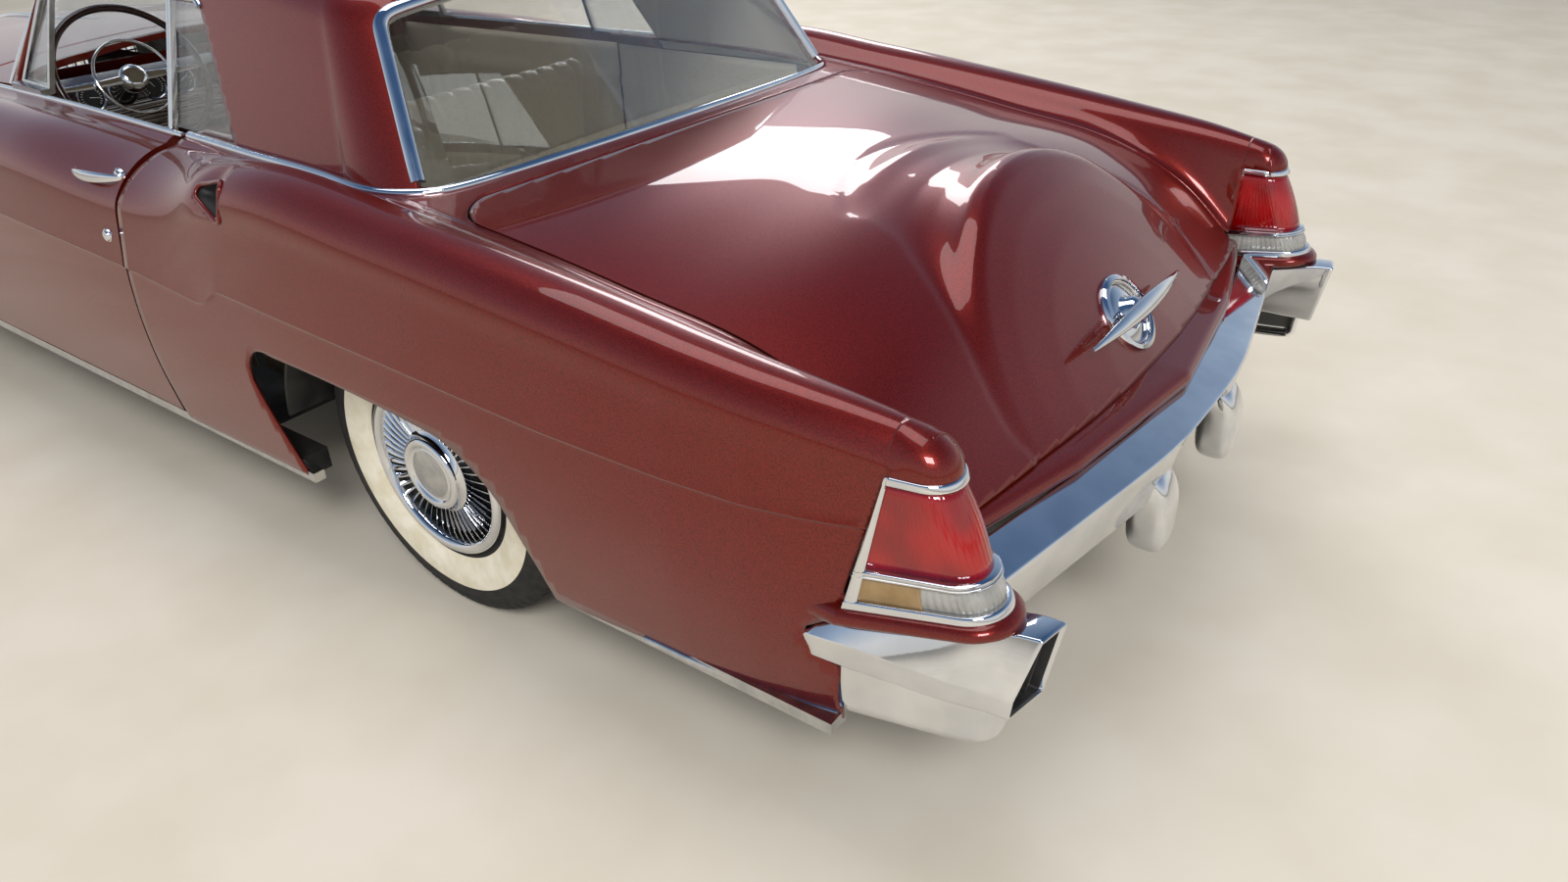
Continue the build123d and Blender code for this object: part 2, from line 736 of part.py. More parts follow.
def tail_lamp_housings():
    """Bright frames of the tail lamps: front, top, divider and foot."""
    foot, top, mid = lamp_foot_z, lamp_top_z, lamp_divider_z
    frame = lamp_cell(foot, top, 0, 0) - lamp_cell(foot + 14, top - lamp_wall, 20, 5)
    return both(frame + lamp_cell(mid - 5, mid + 5, 0, 0))


def tail_lamp_lenses():
    """Upper and lower lenses of both tail lamps."""
    foot, top, mid = lamp_foot_z, lamp_top_z, lamp_divider_z
    upper = lamp_cell(mid + 5, top - lamp_wall, 20, -3)
    lower = lamp_cell(foot + 14, mid - 5, 20, -3)
    return both(upper + lower)


def sill_strips():
    """Bright strips along the bottom of the body, fore and aft of the rear wheels."""
    outer = half_width - strip_outer_inset
    ahead = block(rear_axle_x + 330, front_axle_x - 436, side_member_y + 65, outer, strip_z, skirt_z)
    aft = block(pod_skirt_front_x + 2, rear_axle_x - 450, side_member_y + 40, outer - 8, strip_z, skirt_z)
    return both(ahead + aft)


# Under the body

def chassis_frame():
    """Two boxed rails that rise over the axles, with cross members and spring hangers."""
    low, mid, kick, tail = 170, 300, 430, 320
    under = [(2520, mid), (1450, mid), (1250, low), (-750, low), (-1030, kick), (-1700, kick),
             (-1900, tail), (-2560, tail)]
    over = [(x, z + rail_height) for x, z in under]
    rail = side_prism(under + over[::-1], rail_inner_y, rail_outer_y)
    hangers = block(-640, -740, rail_inner_y, 600, low + rail_height - 2, floor_z)
    hangers += block(-2000, -2090, rail_outer_y, 600, 355, 400)
    frame = both(rail + hangers)
    for x, z in ((2440, mid), (900, low), (-150, low), (-1000, 395), (-1720, kick), (-2460, tail)):
        frame += block(x - 35, x + 35, -rail_inner_y, rail_inner_y, z + 20, z + 80)
    for side in (1, -1):
        frame -= drum(tow_eye_radius, tow_eye_x, tow_eye_z, side * (rail_inner_y - 10), side * (rail_outer_y + 10))
    return frame


def floor_pan():
    """Floor with its tunnel and side members, the rise over the axle and the boot floor."""
    top = floor_z + floor_wall
    deck = block(-740, firewall_x, -side_member_y, side_member_y, floor_z, top)
    tunnel = block(-860, firewall_x, -tunnel_half, tunnel_half, floor_z, tunnel_z)
    bore = block(-880, firewall_x + 1, -tunnel_half + floor_wall, tunnel_half - floor_wall, 200, tunnel_z - floor_wall)
    member = block(rear_axle_x + well_radius + 10, front_axle_x - 440, side_member_y, side_member_y + 64, 240, top)
    rise_top = [(-740, top), (-1030, kick_floor_z), (-1740, kick_floor_z), (-1920, boot_floor_z), (-2555, boot_floor_z)]
    rise_low = [(x, z - floor_wall) for x, z in rise_top]
    rise = side_prism(rise_top + rise_low[::-1], -600, 600)
    wide = block(-2300, -1920, -880, 880, boot_floor_z - floor_wall, boot_floor_z)
    return deck + tunnel + both(member) + rise + wide - bore


def wheelhouses():
    """Tubs over the rear wheels and aprons beside the front wheels."""
    tub = wheel_well(rear_axle_x, well_inner_y - 10, well_outer_y - 2, well_radius)
    tub -= wheel_well(rear_axle_x, well_inner_y, well_outer_y, well_radius - 8)
    tub = tub & block(rear_axle_x - 500, rear_axle_x + 500, 0, 1100, 420, 1100)
    apron = block(front_axle_x - 380, front_axle_x + 420, 446, 454, 400, 840)
    apron += block(front_axle_x - 380, front_axle_x + 420, rail_outer_y - 10, 454, 400, 406)
    apron -= block(front_axle_x - 125, front_axle_x + 125, 400, 470, 390, 495)
    return both(tub + apron)


def engine_block():
    """Engine with its gearbox, as plain blocks on their mountings."""
    block_top = block(1240, 2060, -250, 250, 340, 720)
    rocker = both(block(1300, 2000, 120, 250, 720, 770))
    gearbox = block(760, 1240, -105, 105, 255, 385) & drum_along(105, 700, 1300, 0, 320)
    mount = block(1560, 1640, 250, rail_outer_y - 10, 400, 430)
    return block_top + rocker + gearbox + both(mount)


def front_suspension():
    """Cross member, arms and springs of the front wheels."""
    x = front_axle_x
    beam = block(x - 70, x + 70, -rail_outer_y, rail_outer_y, 200, 300)
    lower = plan_prism([(x - 150, 380), (x + 150, 380), (x + 26, kingpin_y + 23), (x - 26, kingpin_y + 23)], 225, 250)
    upper = plan_prism([(x - 110, 400), (x + 110, 400), (x + 26, kingpin_y + 23), (x - 26, kingpin_y + 23)], 466, 486)
    tower = block(x - 75, x + 75, rail_inner_y, 430, 400, 466)
    spring = Pos(x, 500, 358) * Cylinder(52, 216)
    return beam + both(lower + upper + tower + spring)


def rear_axle():
    """Axle with its differential, leaf springs, brake plates and propeller shaft."""
    x, z = rear_axle_x, axle_z
    plate_y = rear_track / 2 - drum_width - 24
    tube = drum(42, x, z, -plate_y, plate_y)
    bulb = Pos(x, 0, z) * Sphere(125)
    end = drum(spindle_radius, x, z, plate_y, rear_track / 2 + 50)
    plate = drum(drum_radius + 8, x, z, plate_y, plate_y + 8)
    leaf = extrude(Face(Wire([
        ThreePointArc((-670, 530, 248), (x, 530, 280), (-2060, 530, 341)),
        Line((-2060, 530, 341), (-2060, 530, 355)),
        Line((-2060, 530, 355), (-2010, 530, 355)),
        ThreePointArc((-2010, 530, 355), (x, 530, 304), (-670, 530, 264)),
        Line((-670, 530, 264), (-670, 530, 248)),
    ])), amount=60, dir=(0, 1, 0))
    pad = block(x - 60, x + 60, 530, 590, 300, 330)
    shaft = rod(38, (x + 100, 0, z), (758.9, 0, 326))
    return tube + bulb + both(end + plate + leaf + pad) + shaft


def exhaust():
    """A pipe and silencer down each side, ending in the bumper's ports."""
    route = [
        (1440, 277.5, 460), (1440, 277.5, 238), (1440, 490, 238), (1320, 490, 225), (-830, 490, 225),
        (-1130, 490, 470), (-1600, 490, 470), (-1900, 490, 290), (-2260, 560, 310), (-2345, 852, 400),
        (-2420, 852, 490), (-2615, 852, 490),
    ]
    pipe = rod(27, route[0], route[1])
    for a, b in zip(route[1:], route[2:]):
        pipe += rod(27, a, b)
        pipe += Pos(*a) * Sphere(27)
    silencer = drum_along(54, -120, -640, 490, 225)
    clip = block(200, 240, rail_outer_y, 470, 215, 240)
    return both(pipe + silencer + clip)


def fuel_tank():
    """Fuel tank between the rails, under the boot floor."""
    return rounded(block(-2380, -1940, -330, 330, 300, boot_floor_z - floor_wall), Axis.Z, 40)


# Cabin

def dashboard():
    """Instrument panel with round dials' bores, and the steering column."""
    panel = side_prism([(745, 690), (760, 905), (640, 925), (575, 905), (560, 840), (610, 690)], -605, 605)
    for y in DIALS:
        panel -= drum_along(dial_radius, 540, 590, y, dial_z)
    lean = radians(steer_slope)
    x, y, z = steer_hub
    along = lambda d: (x + d * cos(lean), y, z - d * sin(lean))
    column = rod(28, along(46), along(412))
    foot = block(740, firewall_x, -605, 605, 850, 880)
    return panel + column + foot


def steering_wheel():
    """Rim, two spokes, horn ring and hub, square to the leaning column."""
    lean = radians(steer_slope)
    rim = Torus(steer_radius, 11)
    spokes = Box(2 * steer_radius - 8, 26, 10)
    horn = Torus(steer_radius * 0.52, 5)
    hub = Pos(0, 0, -8) * Cylinder(42, 48)
    shaft = Pos(0, 0, -38) * Cylinder(14, 15)
    wheel = rim + (Rot(0, 0, 90) * spokes) + horn + hub + shaft
    plane = Plane(origin=steer_hub, x_dir=(sin(lean), 0, cos(lean)), z_dir=(-cos(lean), 0, sin(lean)))
    return plane.location * wheel


def bench(cushion, back, half, base):
    """Bench seat from the outlines of its cushion, its back and its base."""
    seat = side_prism(cushion, -half, half) + side_prism(back, -half, half)
    return seat + side_prism(base, -half + 60, half - 60)


def front_seat():
    cushion = [(150, 408), (160, 505), (110, 535), (-360, 500), (-360, 408)]
    back = [(-330, 500), (-420, 925), (-450, 950), (-500, 935), (-440, 408), (-330, 408)]
    base = [(100, 294), (100, 408), (-420, 408), (-420, 294)]
    seat = bench(cushion, back, 610, base)
    return seat - block(-800, 200, -tunnel_half - 1, tunnel_half + 1, 200, tunnel_z + 1)


def rear_seat():
    cushion = [(-600, 405), (-600, 520), (-650, 550), (-1075, 575), (-1075, 562), (-1030, 562), (-858, 405)]
    back = [(-1045, 562), (-1180, 860), (-1215, 882), (-1290, 880), (-1170, 562)]
    base = [(-640, 294), (-640, 405), (-738, 405), (-738, 294)]
    seat = bench(cushion, back, 600, base)
    return seat - block(-800, -500, -tunnel_half - 1, tunnel_half + 1, 200, tunnel_z + 1)


def parcel_shelf():
    """Shelf under the rear window, and the bulkhead that carries it."""
    shelf = block(-1430, -1230, -600, 600, 884, 896)
    bulkhead = block(-1322, -1310, -600, 600, kick_floor_z, 884)
    return shelf + bulkhead


# Wheels: shapes turned about the Y axis, the outside towards +Y

def turned(points_and_arcs):
    """Solid of revolution about the Y axis from a closed profile of (radius, offset)."""
    return revolve(make_face(Wire(points_and_arcs)), Axis.Y)


def tyre():
    """Tyre with its rounded shoulders and bulging walls."""
    half, bead, wide = 78, rim_width / 2 - 6 - 2 * seat_gap, tyre_width / 2
    r, b = tyre_radius, bead_radius + seat_gap
    edge, flange = bead_radius + 15 + 2 * seat_gap, rim_width / 2 + rim_flange
    p = lambda radius, offset: (radius, offset, 0)
    return turned([
        Line(p(b, -bead), p(b, bead)),
        Line(p(b, bead), p(edge, bead + 6)),
        Line(p(edge, bead + 6), p(edge, flange)),
        Line(p(edge, flange), p(212, 84)),
        ThreePointArc(p(212, 84), p(272, wide), p(322, 94)),
        ThreePointArc(p(322, 94), p(346, 88), p(r - 4, half - 4)),
        ThreePointArc(p(r - 4, half - 4), p(r, 0), p(r - 4, -half + 4)),
        ThreePointArc(p(r - 4, -half + 4), p(346, -88), p(322, -94)),
        ThreePointArc(p(322, -94), p(272, -wide), p(212, -84)),
        Line(p(212, -84), p(edge, -flange)),
        Line(p(edge, -flange), p(edge, -bead - 6)),
        Line(p(edge, -bead - 6), p(b, -bead)),
    ])


def wheel():
    """Steel wheel with its hub and brake drum, bored for the spindle."""
    r, half = bead_radius, rim_width / 2
    p = lambda radius, offset: (radius, offset, 0)
    rim = turned([
        Line(p(r, -half + 6), p(r + 15, -half)),
        Line(p(r + 15, -half), p(r + 15, -half - rim_flange)),
        Line(p(r + 15, -half - rim_flange), p(r - 4, -half - 1)),
        Line(p(r - 4, -half - 1), p(r - 6, -30)),
        Line(p(r - 6, -30), p(r - 30, -22)),
        Line(p(r - 30, -22), p(r - 30, 34)),
        Line(p(r - 30, 34), p(r - 6, 42)),
        Line(p(r - 6, 42), p(r - 4, half + 1)),
        Line(p(r - 4, half + 1), p(r + 15, half + rim_flange)),
        Line(p(r + 15, half + rim_flange), p(r + 15, half)),
        Line(p(r + 15, half), p(r, half - 6)),
        Line(p(r, half - 6), p(r, -half + 6)),
    ])
    turn = Rot(90, 0, 0)
    disc = turn * Cylinder(r - 28, 6).move(Location((0, 0, -20)))
    hub = turn * Cylinder(hub_radius, 78).move(Location((0, 0, -14)))
    brake = turn * Cylinder(drum_radius, drum_width).move(Location((0, 0, drum_width / 2 - 10)))
    bore = turn * Cylinder(spindle_radius + seat_gap, 300)
    return rim + disc + hub + brake - bore


def wheel_cover():
    """Bright cover: rolled outer ring, a band of thin slanting vanes with slots
    between them, and a stepped cap."""
    p = lambda radius, offset: (radius, offset, 0)
    lip, w = cover_lip, cover_wall
    r0, r1, r2, r3 = cap_radius, vane_inner_radius, vane_outer_radius, cover_radius
    seat = rim_width / 2 + rim_flange + seat_gap
    profile = [
        Line(p(0, lip + 10), p(r0 - 22, lip + 7)),
        ThreePointArc(p(r0 - 22, lip + 7), p(r0 - 6, lip + 14), p(r0, lip + 4)),
        Line(p(r0, lip + 4), p(r1, lip - 16)),
        Line(p(r1, lip - 16), p(r2, lip - 6)),
        ThreePointArc(p(r2, lip - 6), p((r2 + r3) / 2, lip + 2), p(r3, lip - 14)),
        Line(p(r3, lip - 14), p(r3, seat)),
        Line(p(r3, seat), p(r3 - w, seat)),
        Line(p(r3 - w, seat), p(r3 - w, lip - 16)),
        ThreePointArc(p(r3 - w, lip - 16), p((r2 + r3) / 2 - 1, lip - w), p(r2, lip - 6 - w)),
        Line(p(r2, lip - 6 - w), p(r1, lip - 16 - w)),
        Line(p(r1, lip - 16 - w), p(r0 - w, lip + 2 - w)),
        Line(p(r0 - w, lip + 2 - w), p(0, lip + 3)),
        Line(p(0, lip + 3), p(0, lip + 10)),
    ]
    cover = turned(profile)
    middle = (r1 + r2) / 2
    slot = Pos(middle, lip - 12, 0) * Rot(0, 0, 0) * Box(r2 - r1 - 8, 60, vane_slot)
    slots = [Rot(0, 360 / vane_count * i, 0) * slot for i in range(vane_count)]
    return cover - slots


def knuckle():
    """Left steering knuckle with its brake plate and spindle."""
    x, z = front_axle_x, axle_z
    y = front_track / 2
    upright = block(x - 24, x + 24, kingpin_y - 18, kingpin_y + 22, 250 + seat_gap, 466 - seat_gap)
    plate_y = y - drum_width - 24
    plate = drum(drum_radius + 8, x, z, plate_y, plate_y + 8)
    spindle = drum(spindle_radius, x, z, kingpin_y, y + 50)
    return upright + plate + spindle


WHEELS = {
    "front_left": (front_axle_x, front_track / 2, 1),
    "front_right": (front_axle_x, -front_track / 2, -1),
    "rear_left": (rear_axle_x, rear_track / 2, 1),
    "rear_right": (rear_axle_x, -rear_track / 2, -1),
}


def build():
    """Every sub-part by its node's name."""
    parts = {
        "chassis_frame": chassis_frame(),
        "floor_pan": floor_pan(),
        "cowl": cowl(),
        "roof": roof(),
        "deck_panel": deck_panel(),
        "tail_panel": tail_panel(),
        "hood": hood(),
        "boot_lid": boot_lid(),
        "grille": grille(),
        "front_bumper": front_bumper(),
        "rear_bumper": rear_bumper(),
        "headlamps": headlamps(),
        "tail_lamp_housings": tail_lamp_housings(),
        "tail_lamp_lenses": tail_lamp_lenses(),
        "sill_strips": sill_strips(),
        "windscreen": windscreen(),
        "back_window": back_window(),
        "quarter_glass": quarter_glass(),
        "wheelhouses": wheelhouses(),
        "engine_block": engine_block(),
        "front_suspension": front_suspension(),
        "rear_axle": rear_axle(),
        "exhaust": exhaust(),
        "fuel_tank": fuel_tank(),
        "dashboard": dashboard(),
        "steering_wheel": steering_wheel(),
        "front_seat": front_seat(),
        "rear_seat": rear_seat(),
        "parcel_shelf": parcel_shelf(),
    }
    sided = {
        "front_fender": front_fender,
        "quarter_panel": quarter_panel,
        "door": door,
        "vent_frame": vent_frame,
        "vent_glass": vent_glass,
        "knuckle": knuckle,
    }
    for name, make in sided.items():
        shape = make()
        parts[name + "_left"] = shape
        parts[name + "_right"] = mirrored(shape)
    for name, make in {"tyre": tyre, "wheel": wheel, "wheel_cover": wheel_cover}.items():
        shape = make()
        for place, (x, y, side) in WHEELS.items():
            turned_out = shape if side > 0 else mirrored(shape)
            parts[f"{name}_{place}"] = Pos(x, y, axle_z) * turned_out
    return parts


os.makedirs("parts", exist_ok=True)
for node, shape in build().items():
    export_step(shape, f"parts/{node}.step")
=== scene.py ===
"""Looks of a two-door hardtop of the mid 1950s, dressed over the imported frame: painted
skins, brightwork, glass, wheels and upholstery. Tables and formulas are in
millimetres, and `piece` turns them to metres. +X is forward, +Y is the car's left and
+Z is up, with the ground at zero."""

import bmesh
import bpy
import numpy as np
from mathutils import Matrix, Vector


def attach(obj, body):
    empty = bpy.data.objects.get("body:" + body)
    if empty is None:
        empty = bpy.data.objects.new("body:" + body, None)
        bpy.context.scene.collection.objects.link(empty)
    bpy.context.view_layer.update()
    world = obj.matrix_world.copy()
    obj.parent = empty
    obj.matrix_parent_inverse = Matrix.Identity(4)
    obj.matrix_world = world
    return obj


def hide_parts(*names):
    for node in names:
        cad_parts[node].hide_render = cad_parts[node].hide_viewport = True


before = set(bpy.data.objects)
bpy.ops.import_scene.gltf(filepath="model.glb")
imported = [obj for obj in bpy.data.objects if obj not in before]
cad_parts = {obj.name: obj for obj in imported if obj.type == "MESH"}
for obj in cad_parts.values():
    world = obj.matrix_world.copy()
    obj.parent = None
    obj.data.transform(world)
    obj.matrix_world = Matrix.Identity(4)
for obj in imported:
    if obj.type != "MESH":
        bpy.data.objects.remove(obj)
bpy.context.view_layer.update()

# Sizes, as in the CAD part

FRONT_AXLE, REAR_AXLE, AXLE_Z = 1835, -1365, 360
DOOR_FRONT, DOOR_REAR, DOOR_BOTTOM, DOOR_INNER = 867, -490, 300, (682, 742)
HOOD_REAR, HOOD_FRONT, HOOD_HALF_REAR, HOOD_HALF_FRONT = 935, 2700, 722, 640
LID_HALF, LID_CENTRE, LID_CORNER, LID_BOTTOM = 745, -1520, -1440, 600
LID_RADIUS = 90
GAP, SKIN = 6, 7                               # shut line and panel thickness
GLASS_SPLIT, NOSE_X = -395, 2640
TAIL_X = -2300                                 # behind it the fender takes the lamp's lean
HEADLAMP_Y, HEADLAMP_Z = 786, 700

# Tail lamp: its foot, top and side walls, its tip and front edge with their lean by
# height, how far its foot drops forward, and where the cap over it starts
LAMP_FOOT, LAMP_TOP, LAMP_INNER, LAMP_OUTER = 577, 772, 797, 908
LAMP_TIP, LAMP_LEAN, LAMP_FRONT, LAMP_FRONT_LEAN, LAMP_DROP = -2700, 0.446, -2474, 0.26, 0.16
CAP_X = -2525
POD_X, SKIRT_X = -2400, -2456                  # front ends of the bumper's pod and its skirt
SWEEP = 0.165                                  # how the tail is swept forward to the sides

# Body sections: x, then inset from the half width and height of the bottom edge, the
# widest point, the shoulder, the crest, the inner shoulder and the valley, then the
# height on the centre line.
HALF_WIDTH = 985
SECTIONS = np.array([
    (-2715, 70, 285, 50, 560, 65, 700, 122, 790, 186, 730, 200, 470, 520),
    (-2530, 56, 280, 30, 585, 48, 745, 117, 838, 186, 780, 210, 610, 665),
    (-2430, 52, 276, 22, 590, 42, 765, 114, 856, 184, 800, 214, 705, 790),
    (-2250, 47, 272, 13, 600, 35, 785, 110, 878, 182, 830, 216, 795, 888),
    (-1900, 41, 270, 5, 610, 27, 820, 105, 920, 180, 885, 212, 860, 940),
    (-1450, 37, 270, 1, 615, 20, 860, 100, 965, 175, 935, 205, 915, 960),
    (-1000, 35, 270, 0, 620, 17, 880, 95, 990, 170, 962, 193, 946, 975),
    (-880, 35, 270, 0, 620, 19, 865, 90, 972, 173, 955, 195, 946, 980),
    (-760, 35, 270, 0, 620, 25, 850, 85, 930, 185, 944, 205, 946, 985),
    (100, 35, 270, 0, 620, 25, 850, 96, 930, 214, 942, 240, 944, 998),
    (1000, 35, 270, 1, 620, 24, 850, 100, 932, 216, 925, 246, 918, 984),
    (1835, 48, 280, 12, 600, 28, 836, 112, 928, 220, 892, 264, 882, 942),
    (2420, 80, 320, 38, 570, 50, 790, 120, 892, 220, 848, 266, 838, 892),
    (2560, 110, 380, 60, 565, 72, 752, 142, 858, 232, 815, 276, 798, 852),
    (2640, 150, 430, 88, 570, 98, 725, 160, 822, 250, 784, 290, 750, 790),
], float)

# Side crease: x and height
CREASE = np.array([
    (-2660, 690), (-2300, 676), (-1886, 681), (-1465, 702), (-1000, 722), (-905, 725),
    (-850, 690), (-813, 677), (-457, 698), (214, 718), (900, 738), (1835, 742), (2600, 700),
], float)

# Wheel openings, arcs as in the CAD part: middle and end point of each
REAR_ARCH = ((320, -160), [((400, 66), (428, 166)), ((398, 226), (307, 248)), ((50, 242), (-200, 222)),
                           ((-330, 162), (-400, 50)), ((-432, -30), (-462, -160))])
FRONT_ARCH = ((438, -160), [((424, 30), (398, 180)), ((345, 288), (220, 332)), ((0, 344), (-240, 334)),
                            ((-362, 298), (-410, 190)), ((-428, 40), (-430, -160))])

# Greenhouse: x and half breadth at the belt, then at the crown
BELT_Z, CROWN_Z, CROWN_X = 930, 1430, -330
GLASSHOUSE = np.array([
    (850, 0, 385, 0), (790, 420, 345, 340), (728, 600, 318, 470), (600, 690, 250, 530),
    (-260, 733, -400, 590), (-1125, 760, -960, 604), (-1290, 738, -1010, 580),
    (-1360, 668, -1040, 530), (-1450, 0, -1110, 0),
], float)

# Spare-wheel hump: profile from its middle out, radius and height along its axis
HUMP_X, HUMP_Z, HUMP_TILT = -2573, 577, np.radians(36)
HUMP = np.array([(0, 40), (150, 37), (300, 27), (400, 15), (466, 3), (486, -8), (500, -28),
                 (508, -60), (518, -100), (538, -150), (575, -200), (615, -235)], float)


# Materials

def linear(hex_value):
    """sRGB hex colour as linear red, green, blue and full alpha."""
    s = np.array([int(hex_value[i:i + 2], 16) for i in (1, 3, 5)]) / 255
    return (*np.where(s <= 0.04045, s / 12.92, ((s + 0.055) / 1.055) ** 2.4), 1.0)


def add(tree, kind, inputs=None, **settings):
    """Adds a node with its settings. Inputs are values, or output sockets to link."""
    node = tree.nodes.new(kind)
    for name, value in settings.items():
        setattr(node, name, value)
    for name, value in (inputs or {}).items():
        if isinstance(value, bpy.types.NodeSocket):
            tree.links.new(value, node.inputs[name])
        else:
            node.inputs[name].default_value = value
    return node


def finish_of(name, colour, roughness, low=None, high=None, size=1.0, detail=3.0, bump=0.0, span=None,
              **sockets):
    """A named finish: a principled shader with constants on its sockets. Where low and
    high are given, its colour varies between them over spots of a size in millimetres,
    with an optional bump in millimetres and an optional span of roughness."""
    made = bpy.data.materials.new(name)
    made.use_nodes = True
    made.diffuse_color = linear(colour)
    tree = made.node_tree
    shader = tree.nodes["Principled BSDF"]
    shader.inputs["Base Color"].default_value = linear(colour)
    shader.inputs["Roughness"].default_value = roughness
    for socket, value in sockets.items():
        shader.inputs[socket.replace("_", " ")].default_value = value
    if low is None:
        return made
    place = add(tree, "ShaderNodeTexCoord")
    spots = add(tree, "ShaderNodeTexNoise", {"Vector": place.outputs["Object"], "Scale": 1000 / size,
                                             "Detail": detail})
    ramp = add(tree, "ShaderNodeValToRGB", {"Fac": spots.outputs["Fac"]})
    for stop, position, shade in zip(ramp.color_ramp.elements, (0.35, 0.65), (low, high)):
        stop.position, stop.color = position, linear(shade)
    tree.links.new(ramp.outputs["Color"], shader.inputs["Base Color"])
    if span:
        limits = {"From Min": 0.3, "From Max": 0.7, "To Min": span[0], "To Max": span[1]}
        ranged = add(tree, "ShaderNodeMapRange", {"Value": spots.outputs["Fac"], **limits})
        tree.links.new(ranged.outputs["Result"], shader.inputs["Roughness"])
    if bump:
        relief = add(tree, "ShaderNodeBump", {"Height": spots.outputs["Fac"], "Distance": bump / 1000,
                                              "Strength": 1.0})
        tree.links.new(relief.outputs["Normal"], shader.inputs["Normal"])
    return made


# Metallic enamel under clear lacquer, rubbed and polished: maroon with fine flakes and
# a sharp, wet reflection.
paint = finish_of("metallic_enamel_maroon", "#6a1509", 0.35, "#5d1208", "#7c1b0c", 2.5, detail=2.0,
                  Metallic=0.6, Specular_IOR_Level=0.2, Coat_Weight=0.75, Coat_Roughness=0.02)
# Electroplated chromium, buffed: a mirror with the faintest haze.
chrome = finish_of("chromium_plate", "#d9dadd", 0.05, "#d2d4d8", "#e0e1e3", 90, span=(0.03, 0.09),
                   Metallic=1.0)
# Rolled stainless strip: softer and greyer than the plate.
stainless = finish_of("stainless_strip", "#b9babb", 0.2, "#aeb0b2", "#c3c4c5", 30, span=(0.14, 0.26),
                      Metallic=1.0)
# Moulded tyre rubber, carbon black: dull, a little dusty.
rubber = finish_of("tyre_rubber", "#1b1a19", 0.8, "#161514", "#272421", 25, bump=0.3)
# Vulcanised white side band: cream with age, faintly scuffed.
whitewall = finish_of("white_band_rubber", "#e6dfca", 0.55, "#ddd4bb", "#ece6d5", 40, bump=0.2)
# Extruded window seal and gasket rubber. In the shut lines its black is partly painted shade, there to make
# the gaps read dark.
seal = finish_of("seal_rubber_and_gap_shade", "#121212", 0.6, "#0e0e0e", "#191918", 20)
# Laminated plate glass, lightly green.
glass = finish_of("plate_glass", "#eaf4ee", 0.0, Transmission_Weight=1.0, IOR=1.45, Alpha=0.3,
                  Specular_IOR_Level=0.9)
# Moulded acrylic lenses: ruby, and pale amber and clear, frosted by their inner flutes.
ruby = finish_of("acrylic_ruby", "#a80508", 0.12, "#940406", "#b80a0b", 60, detail=0.5,
                 Transmission_Weight=0.3, IOR=1.49, Coat_Weight=0.6, Coat_Roughness=0.04)
amber = finish_of("acrylic_amber", "#a98a5c", 0.2, "#9f8053", "#b3956a", 40, Transmission_Weight=0.25,
                  IOR=1.49)
clear_lens = finish_of("acrylic_clear", "#cfcdc6", 0.18, "#c2c0b8", "#dcdad4", 30, Transmission_Weight=0.5,
                       IOR=1.49)
# Glazed cream hide: pebbled grain, low sheen.
hide = finish_of("cream_hide", "#dfd5c2", 0.45, "#d8cdb8", "#e6ddcc", 6, detail=4.0, bump=0.5,
                 Coat_Weight=0.15, Coat_Roughness=0.4)
# Woven headlining, woven shelf cloth and looped wool carpet.
lining = finish_of("woven_lining", "#cfc6b4", 0.85, "#c5bba8", "#d8d0c0", 2.5, bump=0.4)
shelf_cloth = finish_of("shelf_cloth", "#bdaf98", 0.9, "#b0a28b", "#c8bba6", 3, bump=0.5)
carpet = finish_of("wool_carpet", "#3b1b19", 0.95, "#2f1513", "#472321", 4, bump=1.5)
# Sprayed chassis enamel, satin black with road dust.
chassis = finish_of("chassis_enamel", "#1d1d1e", 0.5, "#161617", "#2b2926", 60, span=(0.4, 0.7))
# Sand-cast iron, oily, and drawn steel tube, dulled by heat.
cast = finish_of("cast_iron", "#3c3d3f", 0.6, "#2e2f30", "#4a4a4b", 12, bump=0.6, Metallic=0.7)
tube_steel = finish_of("drawn_steel", "#6d6964", 0.42, "#5b5753", "#7d7a75", 40, span=(0.3, 0.55),
                       Metallic=1.0)
# Moulded phenolic, dark maroon, glossy: wheel rim and dash top.
phenolic = finish_of("moulded_phenolic", "#2a0f0e", 0.22, "#240c0b", "#331413", 20, Coat_Weight=0.5,
                     Coat_Roughness=0.1)
# Enamelled instrument faces and their white marks.
dial_black = finish_of("dial_enamel", "#101214", 0.4, "#0d0f11", "#15181b", 8)
dial_white = finish_of("dial_figures", "#e8e6de", 0.5, "#e2dfd6", "#eeece6", 8)
# Matt pale floor.
floor_finish = finish_of("pale_floor", "#d6cdbd", 0.9, "#d2c9b8", "#dad2c4", 400)


# Mesh tools

def quads(rows, columns, closed=False):
    """Faces of a grid of points; closed joins its last column to its first."""
    i, j = np.meshgrid(np.arange(rows - 1), np.arange(columns if closed else columns - 1), indexing="ij")
    k = (j + 1) % columns
    here, above = i * columns, (i + 1) * columns
    return np.stack([here + j, here + k, above + k, above + j], -1).reshape(-1, 4)


def capped(rows, columns):
    """Faces of a grid of closed sections, with its first and last section filled."""
    ends = [list(range(columns)), [(rows - 1) * columns + k for k in range(columns)][::-1]]
    return [list(f) for f in quads(rows, columns, closed=True)] + ends


def grid_of(*axes):
    """Points of a grid from its x, y and z, each stretched to the shape of all three."""
    return np.stack(np.broadcast_arrays(*axes), -1)


def around(count):
    """Angles evenly spaced over one turn."""
    return np.linspace(0, 2 * np.pi, count, endpoint=False)


